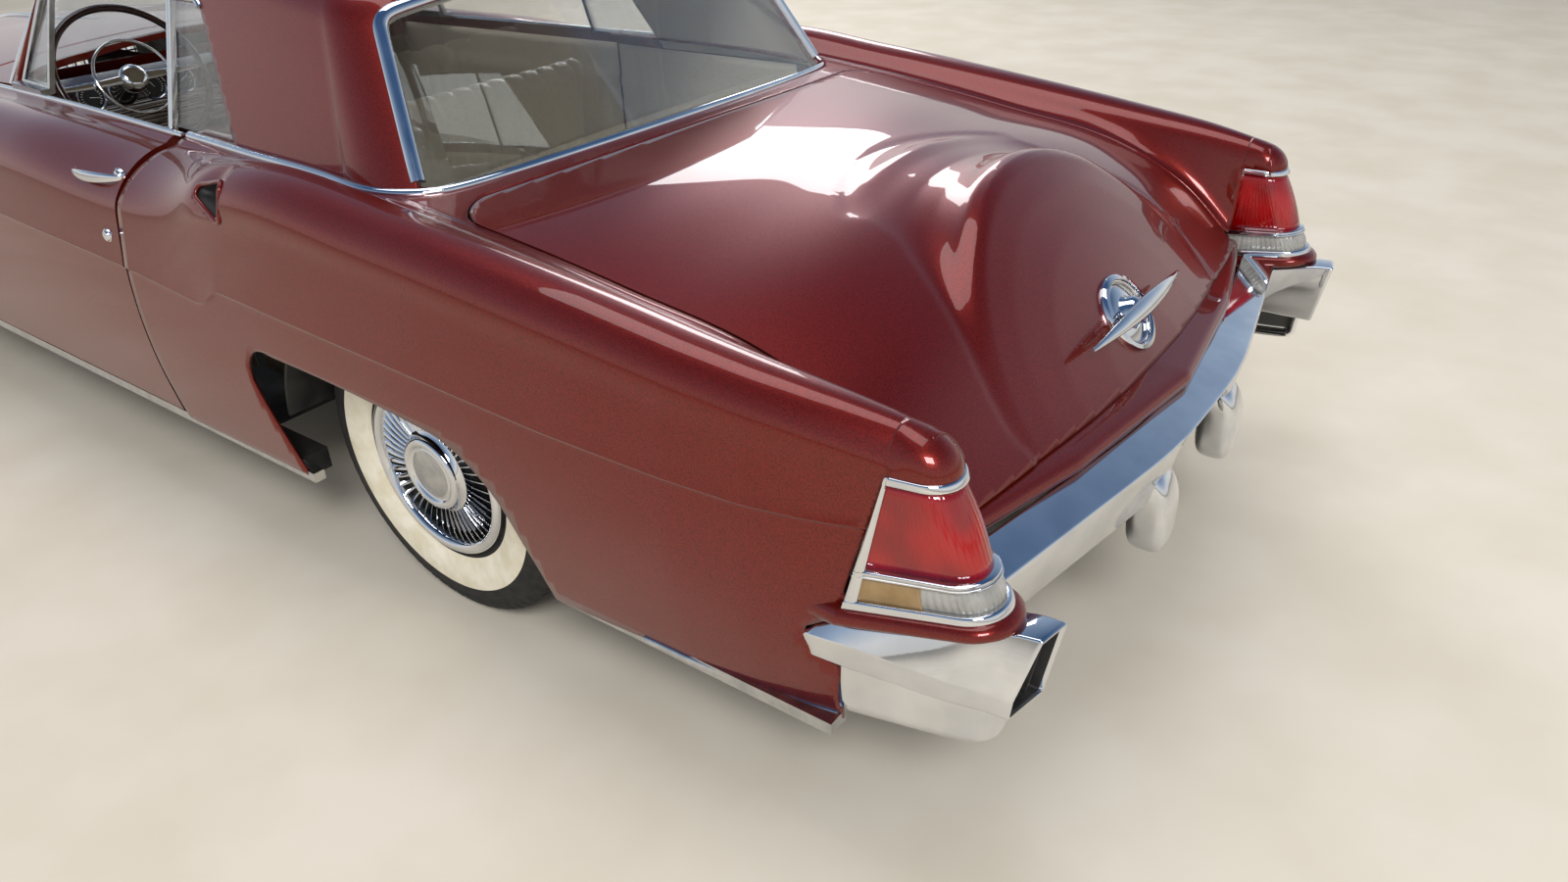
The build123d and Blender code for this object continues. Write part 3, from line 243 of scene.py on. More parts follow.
def turn_faces(mesh, inwards):
    """Points a mesh's faces outwards or inwards: each normal, times its face's area, is
    held against the way from the mesh's middle to the face, and the sum gives the side."""
    count = len(mesh.polygons)
    normal, middle, area = (np.empty(n * count, np.float32) for n in (3, 3, 1))
    mesh.polygons.foreach_get("normal", normal)
    mesh.polygons.foreach_get("center", middle)
    mesh.polygons.foreach_get("area", area)
    away = middle.reshape(-1, 3) - np.average(middle.reshape(-1, 3), axis=0, weights=area)
    side = (area * (normal.reshape(-1, 3) * away).sum(1)).sum()
    if (side < 0) != inwards and abs(side) > 0.02 * (area * np.linalg.norm(away, axis=1)).sum():
        mesh.flip_normals()


def piece(name, points, faces, finish, body, instead=(), wall=0.0, crisp=30.0, turn=False, lining_of=None,
          bevel=0.0, picks=None, weld=0.02, facing="out"):
    """A mesh from points in millimetres and their faces, riding on a body. wall gives it
    a thickness inwards, lining_of the finish of its inner side, crisp the angle past
    which an edge stays sharp, turn swaps its sides, and picks the finish of each face
    from a list. Doubled points are welded; facing says to which side the faces look."""
    mesh = bpy.data.meshes.new(name)
    flat = [list(map(int, f)) for f in faces]
    if turn:
        flat = [f[::-1] for f in flat]
    mesh.from_pydata((np.asarray(points, float).reshape(-1, 3) / 1000).tolist(), [], flat)
    for each in finish if isinstance(finish, (list, tuple)) else [finish]:
        mesh.materials.append(each)
    if picks is not None:
        mesh.polygons.foreach_set("material_index", np.asarray(picks, np.int32))
    made = bpy.data.objects.new(name, mesh)
    bpy.context.scene.collection.objects.link(made)
    if weld:
        work = bmesh.new()
        work.from_mesh(mesh)
        bmesh.ops.remove_doubles(work, verts=work.verts, dist=weld / 1000)
        bmesh.ops.dissolve_degenerate(work, edges=work.edges, dist=1e-6)
        if not any(e.is_boundary for e in work.edges):
            bmesh.ops.recalc_face_normals(work, faces=work.faces)
            facing = "given"
        work.to_mesh(mesh)
        work.free()
    if facing != "given":
        turn_faces(mesh, facing == "in")
    mesh.shade_smooth()
    mesh.set_sharp_from_angle(angle=np.radians(crisp))
    if wall:
        if lining_of:
            mesh.materials.append(lining_of)
        solid = made.modifiers.new("wall", "SOLIDIFY")
        solid.thickness, solid.offset = wall / 1000, -1
        solid.material_offset = 1 if lining_of else 0
        solid.material_offset_rim = 0
    if bevel:
        edge = made.modifiers.new("edge", "BEVEL")
        edge.width, edge.segments, edge.limit_method = bevel / 1000, 2, "ANGLE"
        edge.angle_limit = np.radians(50)
    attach(made, body)
    if instead:
        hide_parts(*instead)
    return made


def mirrored(points, faces):
    """Points and faces with their mirror image on the right side added."""
    points = np.asarray(points, float).reshape(-1, 3)
    other = [[v + len(points) for v in f][::-1] for f in faces]
    return np.concatenate([points, points * (1, -1, 1)]), [list(f) for f in faces] + other


def sided(name, points, faces, finish, body, instead="", turn=False, **more):
    """The same piece on both sides of the car. {} in a name stands for the side."""
    points = np.asarray(points, float).reshape(-1, 3)
    for side, sign in (("left", 1), ("right", -1)):
        piece(name.format(side), points * (1, sign, 1), faces, finish, body.format(side),
              instead=[instead.format(side)] if instead else (), turn=turn != (sign < 0), **more)


def unit(v):
    """Vectors at length one."""
    return v / np.maximum(np.linalg.norm(v, axis=-1, keepdims=True), 1e-9)


def ease(s):
    """Smooth step from 0 to 1: three s squared less two s cubed."""
    s = np.clip(s, 0, 1)
    return s * s * (3 - 2 * s)


def between(x, knots, values):
    """Values at x on smooth curves through the knots: cubic Hermite spans whose slopes
    are the central differences of the knots."""
    slopes = np.gradient(values, knots, axis=0)
    i = np.clip(np.searchsorted(knots, x) - 1, 0, len(knots) - 2)
    h = (knots[i + 1] - knots[i])[..., None]
    s = (x - knots[i])[..., None] / h
    return ((2 * s ** 3 - 3 * s ** 2 + 1) * values[i] + (s ** 3 - 2 * s ** 2 + s) * h * slopes[i]
            + (3 * s ** 2 - 2 * s ** 3) * values[i + 1] + (s ** 3 - s ** 2) * h * slopes[i + 1])


def arc(a, b, c, count):
    """Points on the circles through a, b and c, evenly turned about the centre where the
    bisectors of the chords cross. a, b and c are arrays of points in a plane."""
    p, q = b - a, c - a
    cross = 2 * (p[..., 0] * q[..., 1] - p[..., 1] * q[..., 0])
    cross = np.where(abs(cross) < 1e-6, 1e-6, cross)[..., None]
    pp, qq = (p * p).sum(-1, keepdims=True), (q * q).sum(-1, keepdims=True)
    offset = np.concatenate([q[..., 1:] * pp - p[..., 1:] * qq, p[..., :1] * qq - q[..., :1] * pp], -1)
    centre = a + offset / cross
    angle = lambda v: np.arctan2(v[..., 1] - centre[..., 1], v[..., 0] - centre[..., 0])
    first = angle(a)
    to_b, to_c = (angle(b) - first) % (2 * np.pi), (angle(c) - first) % (2 * np.pi)
    sweep = np.where(to_b <= to_c, to_c, to_c - 2 * np.pi)
    at = first[..., None] + sweep[..., None] * np.linspace(0, 1, count)
    radius = np.linalg.norm(a - centre, axis=-1)[..., None]
    return np.stack([centre[..., :1] + radius * np.cos(at), centre[..., 1:] + radius * np.sin(at)], -1)


def bow(a, b, c, count):
    """Points on the arc from a through b to c."""
    return arc(*(np.array([p], float) for p in (a, b, c)), count)[0]


def sample(table, row, column):
    """A table of points read at fractional rows and columns, by bilinear weights."""
    row = np.clip(row, 0, table.shape[0] - 1.001)
    column = np.clip(column, 0, table.shape[1] - 1.001)
    i, j = row.astype(int), column.astype(int)
    a, b = (row - i)[..., None], (column - j)[..., None]
    return ((1 - a) * (1 - b) * table[i, j] + a * (1 - b) * table[i + 1, j]
            + (1 - a) * b * table[i, j + 1] + a * b * table[i + 1, j + 1])


def soften(table, spread, ends):
    """Rounds the corners of each row of points by a bell-shaped mean along the row.
    ends gives the row's continuation: 'line' turns it about its end point, 'mirror'
    reflects it in the car's middle plane."""
    reach = int(3 * spread)
    head = 2 * table[:, :1] - table[:, reach:0:-1]
    back = table[:, -2:-reach - 2:-1]
    tail = back * (1, -1, 1) if ends == "mirror" else 2 * table[:, -1:] - back
    long = np.concatenate([head, table, tail], 1)
    weights = np.exp(-0.5 * (np.arange(-reach, reach + 1) / spread) ** 2)
    weights /= weights.sum()
    return sum(w * long[:, k:k + table.shape[1]] for k, w in enumerate(weights))


def polygon_gap(p, polygon):
    """Distance in a plane from points to a closed polygon, negative inside it."""
    a = polygon
    b = np.roll(polygon, -1, 0)
    d = b - a
    rel = p[..., None, :] - a
    s = np.clip((rel * d).sum(-1) / (d * d).sum(-1), 0, 1)
    gap = np.linalg.norm(rel - s[..., None] * d, axis=-1).min(-1)
    crosses = (a[:, 1] > p[..., 1:]) != (b[:, 1] > p[..., 1:])
    at = a[:, 0] + (p[..., 1:] - a[:, 1]) * d[:, 0] / np.where(d[:, 1] == 0, 1e-9, d[:, 1])
    inside = (crosses & (p[..., :1] < at)).sum(-1) % 2 == 1
    return np.where(inside, -gap, gap)


def rounded_polygon(corners, radius, count=9):
    """Closed outline with arcs of one radius at its corners: each corner gives way to
    points of the circle that touches both its sides."""
    corners = np.asarray(corners, float)
    before, after = unit(np.roll(corners, 1, 0) - corners), unit(np.roll(corners, -1, 0) - corners)
    half = 0.5 * np.arccos(np.clip((before * after).sum(-1), -1, 1))
    back = (radius / np.tan(half))[:, None]
    start, end = corners + before * back, corners + after * back
    middle = corners + unit(before + after) * (radius / np.sin(half) - radius)[:, None]
    return arc(start, middle, end, count).reshape(-1, 2)


def cut_surface(surface, u, v, field):
    """The part of a surface where a field is positive, as points and faces. Of each grid
    edge that the field's zero line crosses, the nearer end is moved onto the line, by
    Newton steps along the field's slope in (u, v); a quad with one point left outside
    becomes a triangle."""
    U, V = np.meshgrid(u, v, indexing="ij")
    du, dv = np.gradient(u)[:, None], np.gradient(v)[None, :]
    value = field(surface(U, V))
    near = np.zeros(value.shape, bool)
    for axis in (0, 1):
        cut = lambda lo, hi: tuple(slice(lo, hi) if k == axis else slice(None) for k in (0, 1))
        a, b = value[cut(None, -1)], value[cut(1, None)]
        flips = (a < 0) != (b < 0)
        near[cut(None, -1)] |= flips & (abs(a) <= abs(b))
        near[cut(1, None)] |= flips & (abs(a) > abs(b))
    e = 0.02
    for _ in range(5):
        su = (field(surface(U + e * du, V)) - field(surface(U - e * du, V))) / (2 * e)
        sv = (field(surface(U, V + e * dv)) - field(surface(U, V - e * dv))) / (2 * e)
        su[[0, -1]] = 0
        sv[:, [0, -1]] = 0
        step = np.where(near, field(surface(U, V)), 0) / np.maximum(su ** 2 + sv ** 2, 1e-6)
        U = np.clip(U - np.clip(step * su, -0.4, 0.4) * du, u.min(), u.max())
        V = np.clip(V - np.clip(step * sv, -0.4, 0.4) * dv, v.min(), v.max())
    value = np.where(near, 0, field(surface(U, V)))
    points = surface(U, V).reshape(-1, 3)
    out = value.reshape(-1) < 0
    whole = quads(len(u), len(v))
    outside = out[whole]
    faces = [list(f) for f in whole[outside.sum(1) == 0]]
    corner = whole[outside.sum(1) == 1]
    keep = ~out[corner]
    faces += [list(f) for f in corner[keep].reshape(-1, 3)]
    used = np.unique(np.concatenate([np.ravel(f) for f in faces])) if faces else np.array([], int)
    order = np.full(len(points), -1)
    order[used] = np.arange(len(used))
    return points[used], [[int(order[k]) for k in f] for f in faces]


def ribbon(path, normal, profile, closed=True):
    """A profile carried along a path. Its points are offsets (across, out) from the path,
    across being the path's direction crossed with the normal. Returns points and faces."""
    path, normal = np.asarray(path, float), unit(np.asarray(normal, float))
    ahead = np.roll(path, -1, 0) - np.roll(path, 1, 0) if closed else np.gradient(path, axis=0)
    across = unit(np.cross(unit(ahead), normal))
    profile = np.asarray(profile, float)
    points = path[:, None] + profile[None, :, :1] * across[:, None] + profile[None, :, 1:] * normal[:, None]
    rows, columns = points.shape[:2]
    faces = (quads(rows + closed, columns, closed=True) % (rows * columns)).tolist()
    if not closed:
        faces += [list(range(columns))[::-1], [(rows - 1) * columns + k for k in range(columns)]]
    return points.reshape(-1, 3), faces


def turned(profile, centre, sign, count):
    """A profile of (radius, offset) turned about a wheel's axle, its offset outwards."""
    a = around(count)
    r, o = np.asarray(profile, float).T[..., None]
    points = grid_of(centre[0] + r * np.cos(a), centre[1] + sign * o, centre[2] + r * np.sin(a))
    faces = quads(len(r), count, closed=True)
    return points.reshape(-1, 3), faces if sign > 0 else faces[:, ::-1]


def spun(profile, origin, axis, count=48, closed=False):
    """A profile of (radius, height) turned about an axis through an origin."""
    axis = unit(np.asarray(axis, float))
    side = unit(np.cross(axis, (0, 0, 1) if abs(axis[2]) < 0.9 else (1, 0, 0)))
    other = np.cross(axis, side)
    a = around(count)[:, None]
    r, h = np.asarray(profile, float).T[..., None, None]
    points = origin + h * axis + r * (np.cos(a) * side + np.sin(a) * other)
    faces = quads(len(r) + closed, count, closed=True) % (len(r) * count)
    return points.reshape(-1, 3), faces


def circle(radius, reach, height=0.0, count=12):
    """Closed round profile whose middle is a reach from the axis, for rings."""
    a = around(count)
    return np.stack([reach + radius * np.cos(a), height + radius * np.sin(a)], -1)


def solve(test, low, high, rounds=30):
    """Value between low and high where a test turns from true to false, by halving."""
    low, high = np.array(low, float), np.array(high, float)
    for _ in range(rounds):
        middle = (low + high) / 2
        true = test(middle)
        low, high = np.where(true, middle, low), np.where(true, high, middle)
    return low


# Body surface

SIDE, CROWN, WALL, DECK = 120, 60, 14, 150     # steps along each stretch of a section, about 5 mm each
MIDDLE = SIDE + CROWN + WALL + DECK
CREASE_STEP = 80
TABLE_START, TABLE_STEP = -2730, 10


def body_table():
    """Sections of the left half of the body at every TABLE_STEP. Each is an arc through
    the bottom edge, the widest point and the shoulder, an arc through the shoulder, the
    crest and the inner shoulder, a line to the valley and an arc over the middle; then
    its corners are softened, the side crease is raised and the nose is drawn in as a
    quarter ellipse."""
    x = np.arange(TABLE_START, NOSE_X + 1, TABLE_STEP, dtype=float)
    rows = between(np.clip(x, SECTIONS[0, 0], NOSE_X), SECTIONS[:, 0], SECTIONS[:, 1:])
    at = lambda k: np.stack([HALF_WIDTH - rows[:, k], rows[:, k + 1]], -1)
    low, wide, shoulder, crest, inner, valley = (at(k) for k in range(0, 12, 2))
    middle = np.stack([0 * x, rows[:, 12]], -1)
    line = lambda a, b, n: a[:, None] + (b - a)[:, None] * np.linspace(0, 1, n)[:, None]
    stretches = [
        arc(low, wide, shoulder, SIDE + 1)[:, :-1],
        arc(shoulder, crest, inner, CROWN + 1)[:, :-1],
        line(inner, valley, WALL + 1)[:, :-1],
        arc(valley, middle, valley * (-1, 1), 2 * DECK + 1)[:, :DECK + 1],
    ]
    yz = np.concatenate(stretches, 1)
    table = soften(grid_of(x[:, None], yz[..., 0], yz[..., 1]), 3.0, "mirror")
    weights = np.exp(-0.5 * (np.arange(-9, 10) / 3.5) ** 2)
    padded = np.pad(table, ((9, 9), (0, 0), (0, 0)), "reflect", reflect_type="odd")
    table = sum(w * padded[k:k + len(x)] for k, w in enumerate(weights / weights.sum()))
    # each row is spaced anew, so that the crease falls on step CREASE_STEP
    height = np.interp(x, CREASE[:, 0], CREASE[:, 1])
    steps = np.arange(MIDDLE + 1.0)
    for row, z in zip(table, height):
        at = np.interp(z, row[20:SIDE, 2], steps[20:SIDE])
        warp = np.interp(steps, (0, CREASE_STEP, SIDE, MIDDLE), (0, at, SIDE, MIDDLE))
        row[:] = np.stack([np.interp(warp, steps, c) for c in row.T], -1)
    above = steps - CREASE_STEP
    lift = np.where(above >= 0, np.exp(-above / 13), np.exp(above / 0.45))
    fade = ease((x + 2660) / 200) * ease((2560 - x) / 500)
    table[:, :, 1] += fade[:, None] * (5.5 * lift - 2.5) * ease((SIDE + 20 - steps) / 40) * ease(steps / 20)
    # the scoop ahead of the rear fender: a hollow that deepens rearwards to a steep lip
    run, off = (-822 - x[:, None]) / 160, (steps[None] - 140) / 15
    hollow = 17 * ease(run / 0.8) * (1 - ease((run - 0.86) / 0.12)) * np.clip(1 - off ** 2, 0, 1) ** 0.6
    table[..., 1] -= 0.75 * hollow
    table[..., 2] -= 0.65 * hollow
    # the nose is drawn in along the section's normal over its last stretch
    draw, stretch = 34, 80
    along = np.gradient(table, axis=1)
    normal = unit(np.stack([0 * along[..., 0], along[..., 2], -along[..., 1]], -1))
    back = np.clip((x - (NOSE_X - stretch)) / stretch, 0, 1)
    return table - (draw * (1 - np.sqrt(1 - back ** 2)))[:, None, None] * normal


BODY = body_table()


def body(x, t):
    """Point of the body at x, t steps along its section from the left sill. Past the
    middle the right half follows."""
    over = t > MIDDLE
    p = sample(BODY, (x - TABLE_START) / TABLE_STEP, np.where(over, 2 * MIDDLE - t, t))
    p[..., 1] *= np.where(over, -1, 1)
    return p


def step_where(x, test, low, high):
    """The step t, for each x, at which a test of the body's point turns false."""
    return solve(lambda t: test(body(x, t)), np.full(np.shape(x), low), np.full(np.shape(x), high), 26)


def deck_height(x, y):
    """Height of the body's top at a place in plan, inboard of the fenders' crests."""
    y = abs(y)
    t = step_where(x, lambda p: p[..., 1] > y, SIDE + 30, MIDDLE)
    return body(x, t)[..., 2]


def hood_half(x):
    """Half breadth of the hood at x."""
    return HOOD_HALF_REAR + (HOOD_HALF_FRONT - HOOD_HALF_REAR) * (x - HOOD_REAR) / (HOOD_FRONT - HOOD_REAR)


def arch_outline(axle_x, start_and_arcs):
    """Outline of a wheel opening in side view, its arcs closed below."""
    here, arcs = start_and_arcs
    points = []
    for middle, end in arcs:
        points.append(bow(here, middle, end, 24)[:-1])
        here = end
    return np.concatenate(points + [[here]]) + (axle_x, AXLE_Z)


def spread(*stretches):
    """Values over stretches (start, end, step), dense where a stretch says so."""
    parts = [np.arange(a, b, s if b > a else -s) for a, b, s in stretches]
    return np.concatenate(parts + [[stretches[-1][1]]]).astype(float)


SIDE_STEPS = spread((0, 60, 5), (60, 78, 2), (78, 82, 0.5), (82, 100, 2), (100, 120, 2.5), (120, 194, 2))
side_view = lambda p: p[..., [0, 2]]


# Doors, fenders and quarters

def front_fender():
    """Left front fender: the body from the door to the nose, outboard of the hood and
    outside the wheel opening."""
    opening = arch_outline(FRONT_AXLE, FRONT_ARCH)

    def keep(p):
        """The least of the gaps to the hood's side, the wheel opening and the chin."""
        inboard = np.where(p[..., 0] > HOOD_REAR - GAP, hood_half(p[..., 0]) + GAP, HOOD_HALF_REAR)
        chin = p[..., 2] - np.interp(p[..., 0], (2380, 2470, 2640), (200, 424, 436))
        return np.minimum.reduce([p[..., 1] - inboard, polygon_gap(side_view(p), opening), chin])

    u = spread((DOOR_FRONT + GAP, 2540, 19), (2540, NOSE_X, 8))
    v = np.concatenate([SIDE_STEPS, spread((200, 250, 5))])
    points, faces = cut_surface(body, u, v, keep)
    sided("front_fender_skin_{}", points, faces, paint, "body", "front_fender_{}", wall=SKIN, crisp=60)


def nose_face():
    """Front of the left fender round its headlamp. In each direction from the lamp's
    middle it is a straight line from the lamp's ring to the edge of the nose, which is
    the body's end, the hood's side and the chin."""
    ring, side, chin, count = 106, HOOD_HALF_FRONT + 3, 436, 120
    t = spread((0, 260, 1))
    edge = body(np.full_like(t, NOSE_X), t)[:, 1:]
    edge = edge[edge[:, 0] > side]
    edge = np.concatenate([edge, grid_of(side, np.linspace(745, 440, 40)),
                           grid_of(np.linspace(side, edge[0, 0], 20), chin)])
    away = edge - (HEADLAMP_Y, HEADLAMP_Z)
    angle, radius = np.arctan2(away[:, 1], away[:, 0]), np.hypot(away[:, 1], away[:, 0])
    order = np.argsort(angle)
    a = np.linspace(-np.pi, np.pi, count, endpoint=False)
    s = np.linspace(0, 1, 9)[:, None]
    r = ring + (np.interp(a, angle[order], radius[order], period=2 * np.pi) - ring) * s
    x = NOSE_X + 5 * np.sin(np.pi * s ** 0.8) - 5
    points = grid_of(x, HEADLAMP_Y + r * np.cos(a), HEADLAMP_Z + r * np.sin(a))
    sided("nose_face_{}", points, quads(9, count, closed=True), paint, "body", turn=True, facing="given")


def hood():
    """Hood: the body's top between its side edges, from the cowl to the nose."""
    keep = lambda p: hood_half(p[..., 0]) - abs(p[..., 1])
    side = step_where(np.array(HOOD_REAR + 0.0), lambda p: p[..., 1] > HOOD_HALF_REAR + 8, SIDE, MIDDLE)
    half = spread((float(side), MIDDLE, 3.2))
    v = np.concatenate([half, (2 * MIDDLE - half)[-2::-1]])
    u = spread((HOOD_REAR, 2540, 22), (2540, NOSE_X, 8))
    points, faces = cut_surface(body, u, v, keep)
    piece("hood_skin", points, faces, paint, "hood", ["hood"], wall=SKIN, crisp=60)


def door_inner(x):
    """How far out the door's inner face is at x."""
    front, rear = DOOR_INNER
    return front + (rear - front) * (DOOR_FRONT - x) / (DOOR_FRONT - DOOR_REAR)


def door():
    """Left door as a closed box: each section runs up the body's skin to the inner top
    edge, down the flat inner face and back below. Its rear end leans forward inboard."""
    x = spread((DOOR_REAR, DOOR_FRONT, 19.5))
    first = step_where(x, lambda p: p[..., 2] < DOOR_BOTTOM, 0, 60)
    last = step_where(x, lambda p: p[..., 1] > door_inner(p[..., 0]), SIDE + 30, MIDDLE)
    below = first[:, None] + (CREASE_STEP - first[:, None]) * SIDE_STEPS / CREASE_STEP
    share = (SIDE_STEPS - CREASE_STEP) / (SIDE_STEPS[-1] - CREASE_STEP)
    above = CREASE_STEP + (last[:, None] - CREASE_STEP) * share
    skin = body(np.repeat(x[:, None], len(SIDE_STEPS), 1), np.where(SIDE_STEPS < CREASE_STEP, below, above))
    down = np.linspace(1, 0, 12)[1:]
    inner = grid_of(x[:, None], door_inner(x)[:, None], DOOR_BOTTOM + (skin[:, -1:, 2] - DOOR_BOTTOM) * down)
    points = np.concatenate([skin, inner], 1)
    thickness = HALF_WIDTH - DOOR_INNER[1]
    lean = thickness ** 2 / (DOOR_FRONT - DOOR_REAR)
    depth = (HALF_WIDTH - points[..., 1]) / thickness
    points[..., 0] += lean * depth * ease((DOOR_REAR + 160 - points[..., 0]) / 160)
    sided("door_skin_{}", points, capped(*points.shape[:2]), paint, "door_{}", "door_{}", crisp=40)


def quarter_surface(x, t):
    """Body surface whose grid lines lean with the tail lamp behind TAIL_X and whose
    outer side tapers towards the lamp."""
    height = sample(BODY, np.full(x.shape, (-2400 - TABLE_START) / TABLE_STEP), t)[..., 2]
    leant = x + LAMP_LEAN * ease((TAIL_X - x) / 220) * (height - LAMP_FOOT)
    p = body(np.clip(leant, TABLE_START + 1, NOSE_X), t)
    p[..., 0] = leant
    taper = np.interp(-p[..., 0], (2150, 2300, 2400, 2474, 2560, 2700), (0, 6, 15, 26, 40, 54))
    p[..., 1] -= taper * np.clip((p[..., 1] - 800) / 130, 0, 1)
    return p


def tail_cap():
    """End of the fender over the lamp: each line runs from the body's section at the
    lamp's front edge, with the body's slope there, to the lamp's top, its height
    falling as a quarter ellipse."""
    rows, columns = 22, 72
    t = np.arange(60.0, MIDDLE)
    x = solve(lambda x: quarter_surface(x, t)[..., 0] < CAP_X + 4, 0 * t - 2720, 0 * t + TAIL_X)
    section = quarter_surface(x, t)
    over = np.where(section[:, 2] > LAMP_TOP - 1)[0]
    over = slice(over[0], over[-1] + 1)
    section = section[over]
    slope = (section - quarter_surface(x + 6, t)[over]) / 6 * (0, 1, 1)
    run = np.r_[0, np.cumsum(np.linalg.norm(np.diff(section, axis=0), axis=1))]
    even = np.linspace(0, 1, columns)
    evenly = lambda part: np.stack([np.interp(even, run / run[-1], c) for c in part.T], -1)
    section, slope = evenly(section), evenly(slope)
    foot = tail_wall(3 * even, LAMP_TOP - 1, 1)
    tau = np.sin(np.linspace(0, np.pi / 2, rows))[:, None, None]
    way = np.concatenate([tau, tau ** 1.5, 1 - np.sqrt(np.maximum(1 - tau ** 2, 0))], -1)
    grid = section + (foot - section) * way + slope * (section - foot)[:, :1] * tau * (1 - tau) ** 2
    sided("tail_cap_{}", grid, quads(rows, columns), paint, "body", wall=5, crisp=60)


# Scoop's mouth, in side view
MOUTH = rounded_polygon([(-836, 930), (-986, 880), (-992, 966)], 13, 7)


def hip_scoop():
    """Air scoop ahead of the rear fender: its mouth's outline laid on the body, a
    pocket that narrows inwards from it, finished in dark chassis enamel as painted
    shade inside the mouth, and a rolled lip round it."""
    rim = body(MOUTH[:, 0], step_where(MOUTH[:, 0], lambda p: p[..., 2] < MOUTH[:, 1], 80, 175))
    rows, columns = 7, len(rim)
    s = np.linspace(0, 1, rows)[:, None, None]
    grid = rim + (rim.mean(0) - rim) * 0.7 * s + np.array((0, -52, -6)) * np.sqrt(s)
    faces = [list(f) for f in quads(rows, columns, closed=True)]
    faces.append([(rows - 1) * columns + k for k in range(columns)])
    # The pocket's dark chassis finish is painted shade: it stands for the shadow inside the scoop's mouth.
    sided("scoop_shade_pocket_{}", grid, faces, chassis, "body", wall=2, crisp=60, facing="in")
    points, faces = ribbon(rim, np.broadcast_to((0.1, 0.8, 0.6), rim.shape), circle(5, 0, 0, 10))
    sided("scoop_lip_{}", points, faces, paint, "body", crisp=80)


def quarter_panel():
    """Left rear quarter: the body behind the door, outside the wheel opening, with room
    for the tail lamp, the bumper's pod and the boot lid."""
    opening = arch_outline(REAR_AXLE, REAR_ARCH)

    def keep(p):
        """The least of the gaps to each thing that the skin makes room for."""
        x, y, z = np.moveaxis(p, -1, 0)
        flat = side_view(p)
        inboard = np.where(x < -1294, LID_HALF + GAP, 700)
        lamp_edge = LAMP_FRONT - (z - LAMP_FOOT) * LAMP_FRONT_LEAN
        lamp = np.maximum.reduce([x - lamp_edge, LAMP_INNER - y, z - LAMP_TOP, lamp_height(x, LAMP_FOOT) - z])
        cap = np.maximum(x - CAP_X, z - LAMP_TOP + 1)
        back = POD_X - x
        pod_top = np.minimum(lamp_height(x, 560), 473 + 0.62 * back)
        pod = np.maximum.reduce([-back, z - pod_top, np.maximum(413, 449 - 1.3 * back) - z])
        mouth = np.maximum(polygon_gap(flat, MOUTH), 845 - y)
        skirt = np.maximum(x - SKIRT_X, z - 440)
        return np.minimum.reduce([y - inboard, polygon_gap(flat, opening), lamp, cap, pod, skirt, mouth])

    u = spread((DOOR_REAR - GAP, -2320, 18), (-2320, -2600, 12), (-2600, -2660, 8), (-2660, -2700, 4))
    v = np.concatenate([SIDE_STEPS, spread((196, 222, 3))])
    points, faces = cut_surface(quarter_surface, u, v, keep)
    sided("quarter_skin_{}", points, faces, paint, "body", "quarter_panel_{}", wall=SKIN, crisp=60)


def hump_height(x, y):
    """Height of the spare-wheel hump at a place in plan, found by halving: inside it, a
    point's height along the leaning axis is below the profile at its radius."""
    c, s = np.cos(HUMP_TILT), np.sin(HUMP_TILT)
    radii = np.linspace(0, 640, 400)
    rims = np.interp(radii, HUMP[:, 0], HUMP[:, 1])

    def inside(z):
        """Whether a height is inside the hump."""
        along = -(x - HUMP_X) * c + (z - HUMP_Z) * s
        across = np.hypot((x - HUMP_X) * s + (z - HUMP_Z) * c, y)
        return (along < np.interp(across, radii, rims)) & (across < HUMP[-1, 0])

    return solve(inside, np.full(x.shape, 300.0), np.full(x.shape, 1150.0), 24)


def lid_height(x, y):
    """The higher of the deck and the hump, blended over 60 mm where they meet."""
    a, b = deck_height(x, y), hump_height(x, y)
    h = np.clip(0.5 + 0.5 * (b - a) / 60, 0, 1)
    return a + (b - a) * h + 60 * h * (1 - h) * 0.5


def lid_front(y):
    """x of the lid's front edge: an arc through its middle and both corners."""
    return LID_CENTRE + (LID_CORNER - LID_CENTRE) * (y / (LID_HALF - LID_RADIUS)) ** 2


def past_corner(x, y):
    """Where a place is past the middle of a front corner of the lid, and how far from it."""
    ahead, beside = x - (LID_CORNER - LID_RADIUS), abs(y) - (LID_HALF - LID_RADIUS)
    return (ahead > 0) & (beside > 0), np.hypot(np.maximum(ahead, 0), np.maximum(beside, 0))


def cut_table(x, y, height, keep):
    """The part of a height over the plan that a field keeps, as points and faces."""
    X, Y = np.meshgrid(x, y, indexing="ij")
    table = np.stack([X, Y, height(X, Y)], -1)
    return cut_surface(lambda u, v: sample(table, u, v), *(np.arange(n, dtype=float) for n in X.shape), keep)


def boot_lid():
    """Boot lid: deck and hump as a height over the plan, inside the lid's outline with
    its round front corners, and above its lower edge."""
    def keep(p):
        """The least of the gaps to the front edge, a corner's arc and the lower edge."""
        x, y, z = np.moveaxis(p, -1, 0)
        past, away = past_corner(x, y)
        corner = np.where(past, LID_RADIUS - away, LID_RADIUS)
        return np.minimum.reduce([lid_front(y) - x, corner, z - LID_BOTTOM])

    x, y = spread((-1425, -2100, 15), (-2100, -2690, 7)), spread((-LID_HALF, LID_HALF, 9.93))
    points, faces = cut_table(x, y, lid_height, keep)
    piece("boot_lid_skin", points, faces, paint, "boot_lid", ["boot_lid"], wall=6, crisp=60, facing="given")


